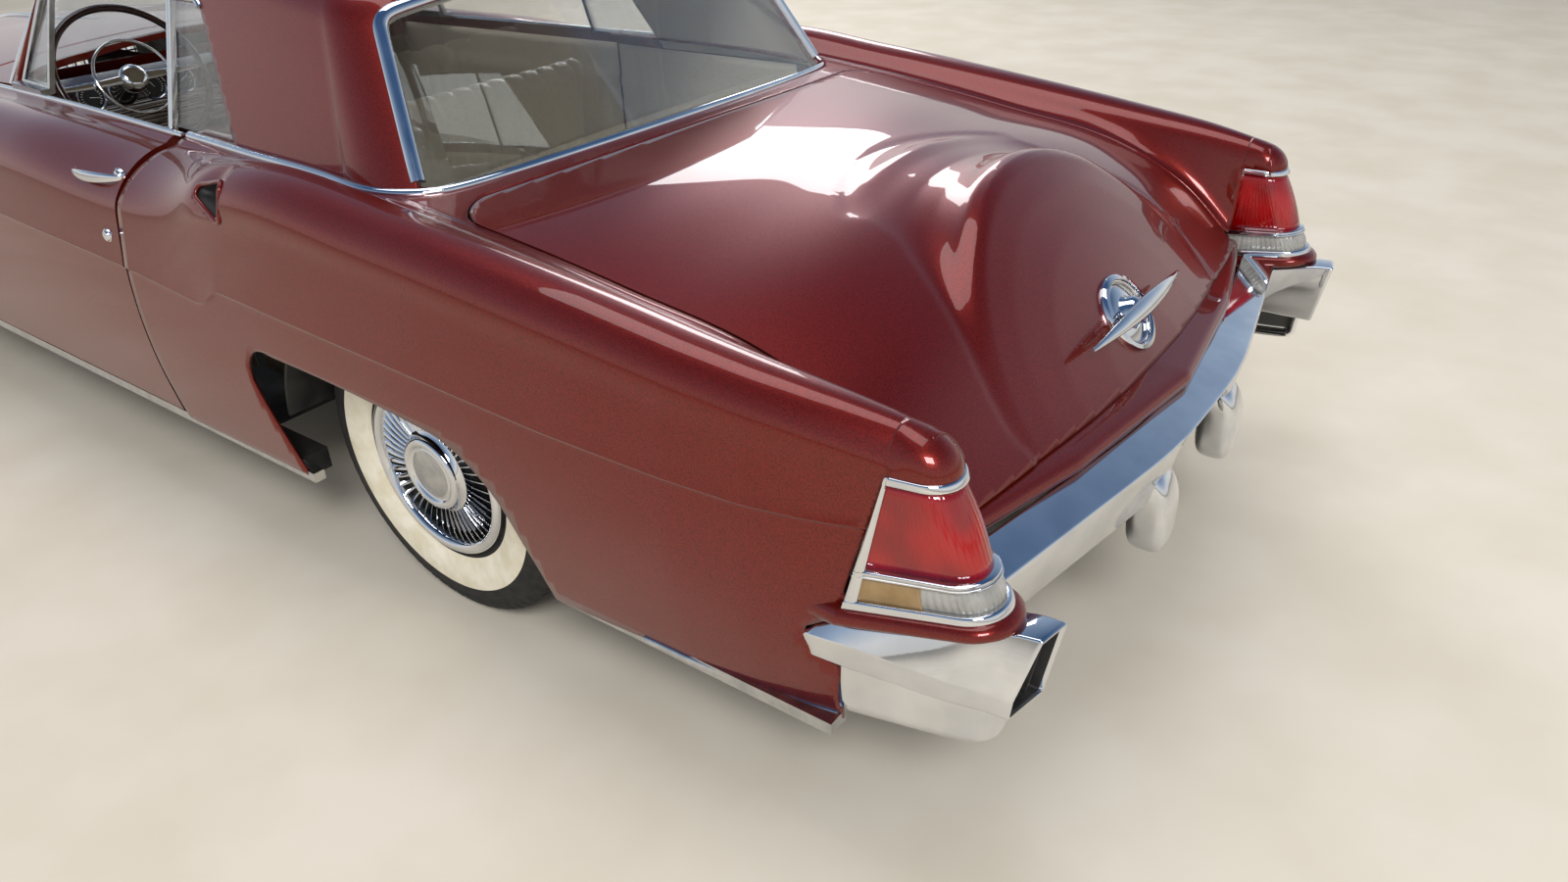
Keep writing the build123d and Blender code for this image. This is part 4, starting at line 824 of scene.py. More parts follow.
def deck_panel():
    """Panel between the rear window and the boot lid."""
    y, x = FOOT[:149:-1].T[::-1]

    def keep(p):
        """The lesser of the gaps to the lid's edge and to the foot of the rear window."""
        px, py, _ = np.moveaxis(p, -1, 0)
        past, away = past_corner(px, py)
        window = np.where(abs(py) < 700, np.interp(abs(py), y, x) + 20 - px, 99)
        rear = np.maximum(px - lid_front(py) - GAP, np.where(past, away - LID_RADIUS - GAP, -99))
        return np.minimum(rear, window)

    edge = LID_HALF + GAP
    points, faces = cut_table(spread((-1240, -1530, 8)), spread((-edge, edge, 12)), deck_height, keep)
    piece("deck_panel_skin", points, faces, paint, "body", ["deck_panel"], wall=6, crisp=60, facing="given")


# Greenhouse

def greenhouse_rings():
    """Plan outlines of the greenhouse at the belt and at the crown, from the middle of
    the windscreen round the left side to the middle of the rear window. Each stretch is
    an arc through three neighbouring points of the table."""
    rings = []
    for columns in (GLASSHOUSE[:, :2], GLASSHOUSE[:, 2:]):
        front = arc(columns[1:2] * (1, -1), columns[:1], columns[1:2], 81)[0][40:-1]
        sides = [arc(columns[i:i + 1], columns[i + 1:i + 2], columns[i + 2:i + 3], n)[0][:-1]
                 for i, n in ((1, 31), (3, 91), (5, 31))]
        rear = arc(columns[7:8], columns[8:9], columns[7:8] * (1, -1), 81)[0][:41]
        rings.append(np.concatenate([front, *sides, rear]))
    return rings


FOOT, HEAD = greenhouse_rings()
COLUMNS = len(FOOT)


def wall_at(k, z):
    """Point of the greenhouse wall at column k and height z: straight between the rings."""
    share = (z - BELT_Z) / (CROWN_Z - BELT_Z)
    ring = lambda table: np.stack([np.interp(k, np.arange(COLUMNS), table[:, c]) for c in (0, 1)], -1)
    a, b = ring(FOOT), ring(HEAD)
    return np.concatenate([a + (b - a) * share[..., None], z[..., None]], -1)


def crown_height(x, y):
    """Height of the roof: an arc across the car, swung on a wider one along it."""
    across, along = 1900, 6500
    dip = across - np.sqrt(across ** 2 - np.clip(y, -1000, 1000) ** 2)
    return CROWN_Z - along + np.sqrt((along - dip) ** 2 - (x - CROWN_X) ** 2)


def on_wall(x, z):
    """Column and point of the left greenhouse wall at a place in side view."""
    x, z = np.asarray(x, float), np.asarray(z, float)
    k = solve(lambda k: wall_at(k, z)[..., 0] > x, 0 * x, 0 * x + COLUMNS - 1)
    return k, wall_at(k, z)


def wall_normal(k, z):
    """Outward normal of the greenhouse wall."""
    k, z = np.asarray(k, float), np.asarray(z, float)
    lo, hi = np.clip(k - 0.7, 0, COLUMNS - 1), np.clip(k + 0.7, 0, COLUMNS - 1)
    normal = np.cross(wall_at(lo, z) - wall_at(hi, z), wall_at(k, z - 5) - wall_at(k, z + 5))
    edge = (k < 0.7) | (k > COLUMNS - 1.7)
    normal[..., 1] *= np.where(edge, 0, 1)
    return unit(normal)


# Openings of the greenhouse in side view
PILLAR_FRONT, PILLAR_REAR = ((616, 930), (448, 1290)), ((566, 930), (398, 1240))
C_PILLAR, BACK_EDGE = ((-699, 930), (-534, 1240)), ((-1318, 930), (-1145, 1236))


def extended(line, z):
    """Point at height z on the line through two points in side view."""
    (x0, z0), (x1, z1) = line
    return (x0 + (x1 - x0) * (z - z0) / (z1 - z0), z)


SILL = 890                                     # the cuts start below the belt
SIDE_OPENING = rounded_polygon([extended(C_PILLAR, SILL), C_PILLAR[1], PILLAR_REAR[1],
                                extended(PILLAR_REAR, SILL)], 26)
SCREEN_OPENING = np.array([extended(PILLAR_FRONT, SILL), PILLAR_FRONT[1], (640, 1358), (1000, 1358),
                           (1000, SILL)], float)
BACK_OPENING = np.array([extended(BACK_EDGE, SILL), BACK_EDGE[1], (-1159, 1262), (-1216, 1318), (-1600, 1318),
                         (-1600, SILL)], float)


def roof():
    """Roof and pillars: each column climbs the greenhouse wall, turns over a rounded
    edge, a quadratic curve from 46 mm below the corner to 58 mm inboard of it, and runs
    over the crown to the roof's middle line. Windows are cut in side view."""
    k = np.r_[0:40:2, 40:COLUMNS - 40, COLUMNS - 40:COLUMNS:2, COLUMNS - 1].astype(float)
    corner_z = solve(lambda z: wall_at(k, z)[..., 2] < crown_height(*wall_at(k, z)[..., :2].T),
                     0 * k + 1200, 0 * k + 1450)
    corner = wall_at(k, corner_z)
    drawn_in = np.sort(CROWN_X + (corner[:, 0] - CROWN_X) * 0.55)[::-1]
    spine = np.stack([0.6 * drawn_in + 0.4 * np.linspace(drawn_in[0], drawn_in[-1], len(k)), 0 * k], -1)

    def over(q):
        """Points on the crown, a share q of the way from the corner to the middle line."""
        xy = corner[:, :2] + (spine - corner[:, :2]) * q[:, None]
        return np.concatenate([xy, crown_height(*xy.T)[:, None]], -1)

    below, foot = 46, 925
    inboard = 58 / np.linalg.norm(spine - corner[:, :2], axis=1)
    rows = [wall_at(k, foot + (corner_z - below - foot) * s) for s in np.linspace(0, 1, 34)]
    a, c = rows[-1], over(inboard)
    rows += [(1 - s) ** 2 * a + 2 * s * (1 - s) * corner + s * s * c for s in np.linspace(0, 1, 10)[1:]]
    rows += [over(inboard + (1 - inboard) * s) for s in np.linspace(0, 1, 26)[1:]]
    table = np.stack(rows, 1)

    def keep(p):
        """The least of the gaps to the openings."""
        flat = side_view(p)
        return np.minimum.reduce([polygon_gap(flat, o) for o in (SIDE_OPENING, SCREEN_OPENING, BACK_OPENING)])

    points, faces = cut_surface(lambda u, v: sample(table, u, v), np.arange(len(k), dtype=float),
                                np.arange(len(rows), dtype=float), keep)
    points, faces = mirrored(points, faces)
    piece("roof_skin", points, faces, paint, "body", ["roof"], wall=26, crisp=50, turn=True, lining_of=lining,
          weld=0.1, facing="given")


def bar(width, height, base=4):
    """Half-round strip: a profile of a width, standing a height above its path."""
    a = np.linspace(np.pi, 0, 9)
    top = np.stack([width / 2 * np.cos(a), height * np.sin(a)], -1)
    return np.concatenate([[(-width / 2, -base)], top, [(width / 2, -base)]])


def frame_path(edge, header, columns):
    """Path round one end of the greenhouse: up the pillar's edge on the left, along the
    header from column to column, and down on the right."""
    (x0, z0), (x1, z1) = edge
    s = np.linspace(0, 1, 40)
    z = z0 + (z1 - z0) * s
    k = on_wall(x0 + (x1 - x0) * s, z)[0]
    across = columns[(columns - k[-1]) * (1 if columns[-1] > columns[0] else -1) > 2.5]
    (hx, hz), (gx, gz) = header
    slope = (gz - hz) / (gx - hx)
    line = lambda p: hz + (p[..., 0] - hx) * slope
    top_z = solve(lambda z: z < line(wall_at(across, z)), 0 * across + 1150, 0 * across + 1400)
    k, z = np.concatenate([k, across]), np.concatenate([z, top_z])
    path, normal = wall_at(k, z), wall_normal(k, z)
    back = slice(-2, None, -1)
    return tuple(np.concatenate([v, v[back] * (1, -1, 1)]) for v in (path, normal))


def smoothed(path, rounds=2):
    """An open path with its inner points moved halfway to their neighbours' mean."""
    for _ in range(rounds):
        path = np.concatenate([path[:1], (path[:-2] + 2 * path[1:-1] + path[2:]) / 4, path[-1:]])
    return path


def window_trim():
    """Bright surrounds of the windscreen and the rear window, and the drip rails."""
    for name, edge, header, columns, feet in (
        ("back_window_surround", (extended(BACK_EDGE, 952), BACK_EDGE[1]), ((-1145, 1240), (-1216, 1318)),
         np.arange(COLUMNS - 75.0, COLUMNS), 30),
        ("windscreen_surround", (extended(PILLAR_FRONT, 945), PILLAR_FRONT[1]), ((448, 1290), (640, 1358)),
         np.arange(75.0, -1, -1), 24),
    ):
        path, normal = frame_path(edge, header, columns)
        path, normal = smoothed(path, 4), smoothed(normal, 4)
        points, faces = ribbon(path, normal, bar(feet, 9, 14), closed=False)
        piece(name, points, faces, chrome, "body", crisp=40)
    side = SIDE_OPENING[SIDE_OPENING[:, 1] > 948]
    start = np.argmax(np.linalg.norm(side - np.roll(side, 1, 0), axis=1))
    side = np.roll(side, -start, 0)
    steps = lambda a, b: np.linspace(0, 1, max(2, int(np.hypot(*(b - a)) / 12)))[:-1, None]
    dense = np.concatenate([a + (b - a) * steps(a, b) for a, b in zip(side[:-1], side[1:])] + [side[-1:]])
    k, path = on_wall(*dense.T)
    points, faces = ribbon(path, wall_normal(k, dense[:, 1]), bar(15, 8, 10), closed=False)
    sided("side_window_surround_{}", points, faces, chrome, "body", crisp=40)


def belt_trim():
    """Bright belt strips: along the foot of the windows on the door, and on the body
    round the rear pillar and the foot of the rear window."""
    x = spread((DOOR_FRONT - 6, DOOR_REAR + 5, 20))
    y = door_inner(x) + 9
    z = body(x, step_where(x, lambda p: p[..., 1] > y, SIDE + 30, MIDDLE))[:, 2]
    path = np.stack([x, y, z], -1)
    points, faces = ribbon(path, np.broadcast_to([0, 0.25, 1.0], path.shape), bar(16, 8), closed=False)
    sided("belt_strip_{}", points, faces, chrome, "door_{}", crisp=40)
    # from the door's rear end round the foot of the greenhouse to its middle at the back
    first = on_wall(np.array(DOOR_REAR - 10.0), np.array(948.0))[0]
    k = np.concatenate([np.arange(first, COLUMNS - 1, 1.5), [COLUMNS - 1]])
    grow = 8 + 10 * ease((k - first) / 20)
    z = 0 * k + 950
    normal = wall_normal(k, z)
    path = wall_at(k, z) + normal * (1, 1, 0) * grow[:, None]
    path[:, 2] = deck_height(path[:, 0], path[:, 1]) + 1
    path = smoothed(path, 6)
    path = np.concatenate([path, path[-2::-1] * (1, -1, 1)])
    lean = np.concatenate([normal, normal[-2::-1] * (1, -1, 1)]) * (0.3, 0.3, 0) + (0, 0, 1)
    points, faces = ribbon(path, lean, bar(22, 9, 8), closed=False)
    piece("rear_belt_strip", points, faces, chrome, "body", crisp=40)


def side_strips():
    """Bright strips: the pillar ahead of the fixed side glass, and the lower edges of the
    fenders behind the rear wheel and the front one."""
    z = np.linspace(936, 1238, 30)
    k, path = on_wall(0 * z + GLASS_SPLIT, z)
    points, faces = ribbon(path, wall_normal(k, z), bar(15, 7, 12), closed=False)
    sided("side_window_pillar_{}", points, faces, chrome, "body", crisp=40)
    for name, start, end in (("rear_fender_strip_{}", -2048, -2396),
                             ("front_sill_strip_{}", 1475, DOOR_FRONT + 9)):
        x = spread((start, end, 16))
        path = quarter_surface(x, 0 * x + 2) + (0, 1.0, 0)
        points, faces = ribbon(path, np.broadcast_to((0, 1.0, 0.1), path.shape), bar(17, 6, 6), closed=False)
        sided(name, points, faces, stainless, "body", crisp=40)


def wheel_liners():
    """Dark inner arches over the front wheels: half ellipses about the axle, carried
    inboard from the fender, clear of the steered tyre."""
    a = np.radians(np.linspace(-12, 192, 60))[:, None]
    grid = grid_of(FRONT_AXLE + 458 * np.cos(a), np.linspace(932, 640, 12), AXLE_Z + 402 * np.sin(a))
    sided("front_wheel_liner_{}", grid, quads(60, 12), chassis, "body", wall=3, facing="in")


# Tail lamps

def lamp_height(x, z):
    """Height at x of a level of the tail lamp. Its foot drops towards the front by a
    share of the way from the tip, and its top stays level."""
    share = np.clip((LAMP_TOP - z) / (LAMP_TOP - LAMP_FOOT), 0, 1.15)
    return z - LAMP_DROP * np.maximum(x - LAMP_TIP, 0) * share


def tail_wall(q, z, grow):
    """Point of a tail lamp's wall at height z, grown outwards. q runs from 0 at the
    front edge of the outer side to 1, over an arc round the tip to 2, and along the inner
    side to 3. The whole wall leans forward with height and narrows to the top."""
    q, z, grow = np.broadcast_arrays(*(np.asarray(v, float) for v in (q, z, grow)))
    rise = z - LAMP_FOOT
    tip, front = LAMP_TIP + rise * LAMP_LEAN - grow, LAMP_FRONT - rise * LAMP_FRONT_LEAN
    outer, inner = LAMP_OUTER - rise * 0.05 + grow, LAMP_INNER + rise * 0.03 - grow
    half, bend = (outer - inner) / 2, tip + 0.42 * (outer - inner)
    sag = bend - tip
    radius = (half ** 2 + sag ** 2) / (2 * sag)
    turn = np.arcsin(np.clip(half / radius, -1, 1)) * (3 - 2 * q)
    along = np.clip(q, None, 1)
    x_out = front + (bend - front) * along
    stretch = [q <= 1, q < 2]
    x = np.select(stretch, [x_out, tip + radius * (1 - np.cos(turn))], bend + (front - bend) * (q - 2))
    tip_y = (outer + inner) / 2 + radius * np.sin(turn)
    y = np.select(stretch, [outer + SWEEP * (x_out - bend), tip_y], inner)
    return np.stack([x, y, lamp_height(x, z)], -1)


# Steps of q round the lamp, dense at its tip
AROUND = np.concatenate([np.linspace(0, 1, 10)[:-1], np.linspace(1, 2, 26)[:-1], np.linspace(2, 3, 10)])


def lamp_band(name, profile, finish, start=0.0, instead=""):
    """A closed profile of (grow, height) carried round the lamp, with closed ends. It
    starts ahead of the lamp's front edge where start is below zero."""
    profile = np.asarray(profile, float)
    q = np.concatenate([np.linspace(start, 0, 9)[:-1], AROUND]) if start else AROUND
    grid = tail_wall(q[:, None], profile[:, 1], profile[:, 0] + 70 * np.minimum(q, 0)[:, None])
    sided(name, grid, capped(len(q), len(profile)), finish, "body", instead, crisp=40)


def tail_lamps():
    """Lenses with upright flutes, 9 mm apart and deepest in the clear lens, between
    bright bands, over the painted rim that the fender ends in."""
    whole = np.concatenate([np.linspace(0.06, 1, 46)[:-1], np.linspace(1, 2, 60)[:-1], np.linspace(2, 3, 40)])
    for name, low, high, finish, depth, out, q in (
            ("red", 636, 764, ruby, 0.5, -4, whole), ("clear", 588, 626, clear_lens, 1.3, -4, whole),
            ("amber", 588, 626, amber, 0.3, -1, np.linspace(0.07, 0.7, 24))):
        z = np.linspace(low, high, 9)
        bulge = 5 * np.sin(np.pi * np.linspace(0, 1, 9))
        steps = np.linalg.norm(np.diff(tail_wall(q, 0 * q + 660, 0 * q), axis=0), axis=1)
        flute = depth * np.cos(2 * np.pi * np.cumsum(np.r_[0, steps]) / 9)
        grid = tail_wall(q[:, None], z, out + bulge + flute[:, None] * (bulge > 0.5))
        sided("tail_lamp_" + name + "_{}", grid, quads(len(q), 9), finish, "body", "tail_lamp_lenses", wall=4,
              crisp=60)
    lamp_band("tail_lamp_top_{}", rounded_polygon([(-8, 762), (5, 762), (5, 774), (-8, 774)], 3, 5), chrome,
              instead="tail_lamp_housings")
    divider = [(-8, 626), (3, 625), (6, 627), (6, 629), (3, 630.5), (3, 632), (6, 633), (6, 635), (3, 637),
               (-8, 637)]
    lamp_band("tail_lamp_divider_{}", divider, chrome)
    lamp_band("tail_lamp_foot_{}", rounded_polygon([(-8, 575), (7, 575), (7, 590), (-8, 590)], 4, 5), chrome)
    a = around(16)
    lamp_band("tail_rim_{}", np.stack([2 + 15 * np.cos(a), 564 + 13 * np.sin(a)], -1), paint, start=-0.45)
    z = np.linspace(574, 775, 24)
    along, out = np.array([(0, -6), (0, 4), (0.2, 6), (0.8, 6), (1, 4), (1, -6)]).T
    for side, start, width in (("outer", 0.0, 0.115), ("inner", 3.0, -0.07)):
        grid = tail_wall(start + width * along, z[:, None], out)
        sided("tail_lamp_" + side + "_edge_{}", grid, capped(24, 6), chrome, "body")


# Rear bumper

def bumper_face(y):
    """x of the rear bumper's rear edge: straight in the middle, then swept forward,
    with a softened corner at 200 mm from the middle."""
    rear, corner, soft = -2740, 200, 45
    return rear + SWEEP * soft * np.logaddexp(0, (abs(y) - corner) / soft)


def bumper_bar():
    """Centre bar: one rounded section carried across the car behind the boot lid. Its
    rear face is shorter between the guards, to clear the plate."""
    y = spread((-815, 815, 12))[:, None]
    across, up = rounded_polygon([(88, 566), (0, 541), (22, 428), (36, 428), (66, 520)], 7, 7).T
    rise = 66 * ease((186 - abs(y)) / 26)
    grid = grid_of(bumper_face(y) + across, y, up + rise * np.clip((541 - up) / 113, 0, 1))
    piece("rear_bumper_bar", grid, capped(len(y), len(up)), chrome, "body", ["rear_bumper"], crisp=40)


def superellipsoid(centre, half, power, rows=20, count=32):
    """Rounded block: powers of sines and cosines below one square up an ellipsoid."""
    curve = lambda v: np.sign(v) * abs(v) ** power
    a, b = np.linspace(-np.pi / 2, np.pi / 2, rows)[:, None], around(count)
    out = curve(np.cos(a))
    points = grid_of(out * curve(np.cos(b)) * half[0], out * curve(np.sin(b)) * half[1],
                     curve(np.sin(a)) * half[2]) + centre
    return points.reshape(-1, 3), quads(rows, count, closed=True)


def bumper_guards():
    """Upright rubbing blocks on the bar, their heads leaning forward."""
    middle, half = (-2708, 208, 404), (42, 42, 96)
    points, faces = superellipsoid(middle, half, 0.55)
    points[:, 0] += 30 * np.clip((points[:, 2] - middle[2]) / half[2], 0, 1) ** 2
    sided("rear_guard_{}", points, faces, chrome, "body", crisp=80)


# Pod sections: x, then across and up of the top's outer corner, the ridge and the seam
POD = np.array([
    (-2395, 932, 462, 938, 456, 934, 446),
    (-2400, 928, 472, 944, 460, 938, 426),
    (-2415, 926, 482, 945, 463, 938, 415),
    (-2480, 922, 492, 937, 465, 930, 412),
    (-2562, 908, 508, 926, 462, 919, 412),
    (-2655, 889, 534, 914, 457, 908, 412),
    (-2735, 870, 556, 901, 454, 896, 412),
    (-2772, 866, 559, 898, 453, 893, 412),
], float)


POD_INNER, POD_TOP, POD_REAR = 806, 559, -2775


def pod_row(x):
    """Section of a bumper pod at x, its five corners rounded, as 30 points."""
    _, by, bz, ay, az, dy, dz = (np.interp(-x, -POD[:, 0], c) for c in POD.T)
    flat = rounded_polygon([(POD_INNER, bz + 1), (by, bz), (ay, az), (dy, dz), (POD_INNER, dz)], 5, 6)
    return np.column_stack([np.full(len(flat), x), flat])


def swept(y, z):
    """How far the pod's rear face lies forward at a place, from its upper inner corner."""
    return 0.2 * (y - POD_INNER) + 0.17 * (POD_TOP - z)


def bumper_pods():
    """Pods round the exhaust ports: sections along x, turned in at the rear face to a
    dark port with upright vanes."""
    rows = [pod_row(x) for x in spread((-2395, -2420, 4), (-2420, -2768, 14))]
    last, count = rows[-1], len(rows[-1])
    middle = last.mean(0)
    for x, size in ((-2773, 0.99), (POD_REAR, 0.97), (POD_REAR, 0.93), (-2769, 0.91), (-2640, 0.91)):
        row = middle + (last - middle) * size
        row[:, 0] = x
        rows.append(row)
    grid = np.stack(rows)
    grid[..., 0] += swept(grid[..., 1], grid[..., 2]) * ease((-2600 - grid[..., 0]) / 160)
    faces = capped(len(rows), count)
    picks = np.zeros(len(faces), int)
    picks[-2 - count:] = 1                     # the port's wall and its end
    picks[-2] = 0                              # the pod's front end
    sided("rear_pod_{}", grid, faces, [chrome, chassis], "body", picks=picks, crisp=40)
    low = 424
    for i, y in enumerate((834, 856, 878)):
        top = np.interp(y, (POD_INNER, 862, 893), (544, 544, 465))
        foot, head = (-2762 + swept(y, z) for z in (low, top))
        near, far = y - 1.5, y + 1.5
        vane = np.array([(foot, near, low), (foot, far, low), (head, far, top), (head, near, top)])
        vane = np.concatenate([vane, vane + (110, 0, 0)])
        faces = [(0, 1, 2, 3), (4, 7, 6, 5), (0, 4, 5, 1), (1, 5, 6, 2), (2, 6, 7, 3), (3, 7, 4, 0)]
        sided(f"port_vane_{i}" + "_{}", vane, faces, chassis, "body", bevel=0.6)


def bumper_skirts():
    """Skirt under each pod: a wall in plan that turns in behind, with its rear bottom
    corner rounded and its lower edge tucked in."""
    bend = bow((-2676, 897), (-2704, 885), (-2717, 858), 10)
    plan = np.concatenate([grid_of(np.linspace(SKIRT_X, -2670, 26), np.linspace(926, 898, 26)), bend,
                           grid_of(-2717, np.linspace(851, 808, 6))])
    run = np.r_[0, np.cumsum(np.linalg.norm(np.diff(plan, axis=0), axis=1))]
    foot = 297 + 0.1 * run + 40 * (1 - np.sqrt(1 - np.clip(1 - (run[-1] - run) / 200, 0, 0.98) ** 2))
    s = np.linspace(0, 1, 16)[:, None]
    tuck = 12 * np.clip((s - 0.8) / 0.2, 0, 1) ** 2 + 6 * s
    ahead = unit(np.gradient(plan, axis=0))
    xy = plan + np.stack([-ahead[:, 1], ahead[:, 0]], -1) * tuck[..., None]
    grid = grid_of(xy[..., 0], xy[..., 1], 428 + (foot - 428) * s)
    sided("rear_skirt_{}", grid, quads(16, len(plan)), chrome, "body", wall=3, crisp=50)


# Wheels

def tyre(place, x, y, sign):
    """Tyre: its profile turned about the axle. Three zigzag grooves, 7 mm deep, run
    round the tread and every fourth step of its shoulders is sunk. The outer side
    carries a white band between fine raised rings."""
    tread_o = np.linspace(76, -76, 51)
    tread = np.stack([359.6 - 4 * (tread_o / 78) ** 4, tread_o], -1)
    half = np.concatenate([[(191, 74), (205, 79)], bow((212, 84), (272, 102.3), (322, 94), 23),
                           bow((322, 94), (344, 89), (355, 78), 9)[1:]])
    profile = np.concatenate([half, tread, half[::-1] * (1, -1)])
    count = 288
    a = around(count)
    r, o = np.repeat(profile[:, :1], count, 1), np.repeat(profile[:, 1:], count, 1)
    zigzag = 3.5 * (2 / np.pi) * np.arcsin(np.sin(a * 48))
    groove = sum(np.exp(-((o - c - zigzag) / 2.6) ** 4) for c in (-34, 0, 34))
    flank = (abs(o) > 62) & (r > 340) & (np.arange(count) % 4 == 0)
    ring = lambda at: np.exp(-((r - at) / 1.6) ** 2) * (abs(o) > 60)
    r = r - 7 * groove * (abs(o) < 60) - 4 * flank
    o = o + np.sign(o) * (1.6 * (ring(216) + ring(293)) + 0.8 * ring(312))
    points = grid_of(x + r * np.cos(a), y + sign * o, AXLE_Z + r * np.sin(a))
    between_rows = (profile[:-1, 0] + profile[1:, 0]) / 2
    band = (between_rows > 215) & (between_rows < 294) & (profile[:-1, 1] > 0)
    piece(f"tyre_{place}_dressed", points, quads(len(profile), count, closed=True), [rubber, whitewall],
          f"wheel_{place}", [f"tyre_{place}"], picks=np.repeat(band, count).astype(int), crisp=45, weld=0)


def cover(place, x, y, sign):
    """Wheel cover: a dished base with a rolled ring and a stepped cap, and 48 bright
    blades over a dark well. Each blade is crowned and pitched like a turbine's."""
    lip, count = 98, 144
    profile = np.concatenate([
        [(0, 9), (30, 9), (56, 7.5), (60, 5), (64, 6)], bow((66, 8), (78, 12.5), (86, 2), 9),
        [(92, -5), (97, -8), (99, -20), (175, -22), (177, -12)], bow((178, -8), (192, 3), (204, -12), 13),
        [(205, -22), (203, -22)]]) + (0, lip)
    points, faces = turned(profile, (x, y, AXLE_Z), sign, count)
    radius = np.repeat(profile[:-1, 0], count)
    well, cap = (radius >= 98.5) & (radius < 176.5), radius < 56
    piece(f"cover_{place}_dish", points, faces, [chrome, chassis, stainless], f"wheel_{place}",
          [f"wheel_cover_{place}"], picks=np.where(well, 1, np.where(cap, 2, 0)), crisp=35, weld=0.01,
          facing="given")
    s, across = np.meshgrid(np.linspace(0, 1, 9), np.array([-1, -0.9, -0.3, 0.4, 0.95, 1]), indexing="ij")
    radius, width = 97 + 81 * s, 3.0 + 2.6 * s
    height = lip - 9 + 3 * np.sin(np.pi * s) - 3.2 * across - 1.5 * across ** 2 - 10 * (abs(across) > 0.97)
    a = around(48)[:, None, None] + across * width / radius
    blades = grid_of(x + radius * np.cos(a), y + sign * height, AXLE_Z + radius * np.sin(a))
    faces = np.concatenate([quads(*s.shape) + k * s.size for k in range(48)])
    piece(f"cover_{place}_blades", blades, faces, chrome, f"wheel_{place}", crisp=40, weld=0, turn=sign < 0,
          facing="given")


# Brightwork on the body

def door_handles():
    """Pull handles: a bowed bar that swells from both feet, and a round button and lock."""
    s = np.linspace(0, 1, 34)
    x, z, a = np.linspace(-268, -470, 34), 880 + 6 * s, around(16)
    skin = body(x, step_where(x, lambda p: p[..., 2] < z, SIDE - 20, SIDE + 30))[:, 1]
    out, tall, deep = 30 * np.sin(np.pi * s) ** 0.55, 7 + 7 * np.sin(np.pi * s), 5 + 4 * np.sin(np.pi * s)
    grid = grid_of(x[:, None], (skin + out)[:, None] + deep[:, None] * np.cos(a) * 0.8,
                   z[:, None] + tall[:, None] * np.sin(a))
    sided("door_pull_{}", grid, capped(34, 16), chrome, "door_{}", crisp=50)
    for name, at_x, at_z, r in (("door_button_{}", -452, 886, 15), ("door_lock_{}", -434, 758, 13)):
        at = np.array([at_x], float)
        y = float(body(at, step_where(at, lambda p: p[..., 2] < at_z, 40, SIDE + 30))[0, 1])
        profile = [(0, 9), (r * 0.6, 8.5), (r * 0.9, 6.5), (r, 3), (r + 3, 2.4), (r + 4, 0), (r + 4, -6)]
        points, faces = turned(profile, (at_x, y, at_z), 1, 28)
        sided(name, points, faces, chrome, "door_{}", crisp=40)


def face_point(u, v, lift):
    """Place on the hump's face: u across, v up the face from its middle, lift off it."""
    c, s = np.cos(HUMP_TILT), np.sin(HUMP_TILT)
    height = np.interp(np.hypot(u, v), HUMP[:, 0], HUMP[:, 1]) + lift
    return np.stack([HUMP_X - c * height + s * v, u + 0 * v, HUMP_Z + s * height + c * v], -1)


BOSS_V = 108                                   # how far up the hump's face the ornament sits


def boot_boss():
    """Plain ring with a raised centre on the hump, and a long handle blade over it."""
    a = around(64)
    for name, rows in (("boot_ring", [(84, -2), (84, 5), (80, 11), (72, 13), (66, 10), (63, 4), (62, -2)]),
                       ("boot_boss", [(62, 1), (60, 3), (36, 7), (30, 16), (26, 30), (16, 38), (0, 40)])):
        r, lift = np.array(rows, float).T[..., None]
        grid = face_point(r * np.cos(a), BOSS_V + r * np.sin(a), lift)
        piece(name, grid, quads(len(rows), 64, closed=True), chrome, "boot_lid", crisp=40)
    s, b = np.linspace(-1, 1, 61)[:, None], around(14)
    wide, thick, lift = 3 + 15 * (1 - abs(s) ** 1.6), 2.5 + 7 * (1 - abs(s) ** 1.5), 46 - 10 * s ** 2
    grid = face_point(232 * s + 0 * b, BOSS_V + wide * np.cos(b), lift + thick * np.sin(b))
    piece("boot_handle", grid, capped(61, 14), chrome, "boot_lid", crisp=50)


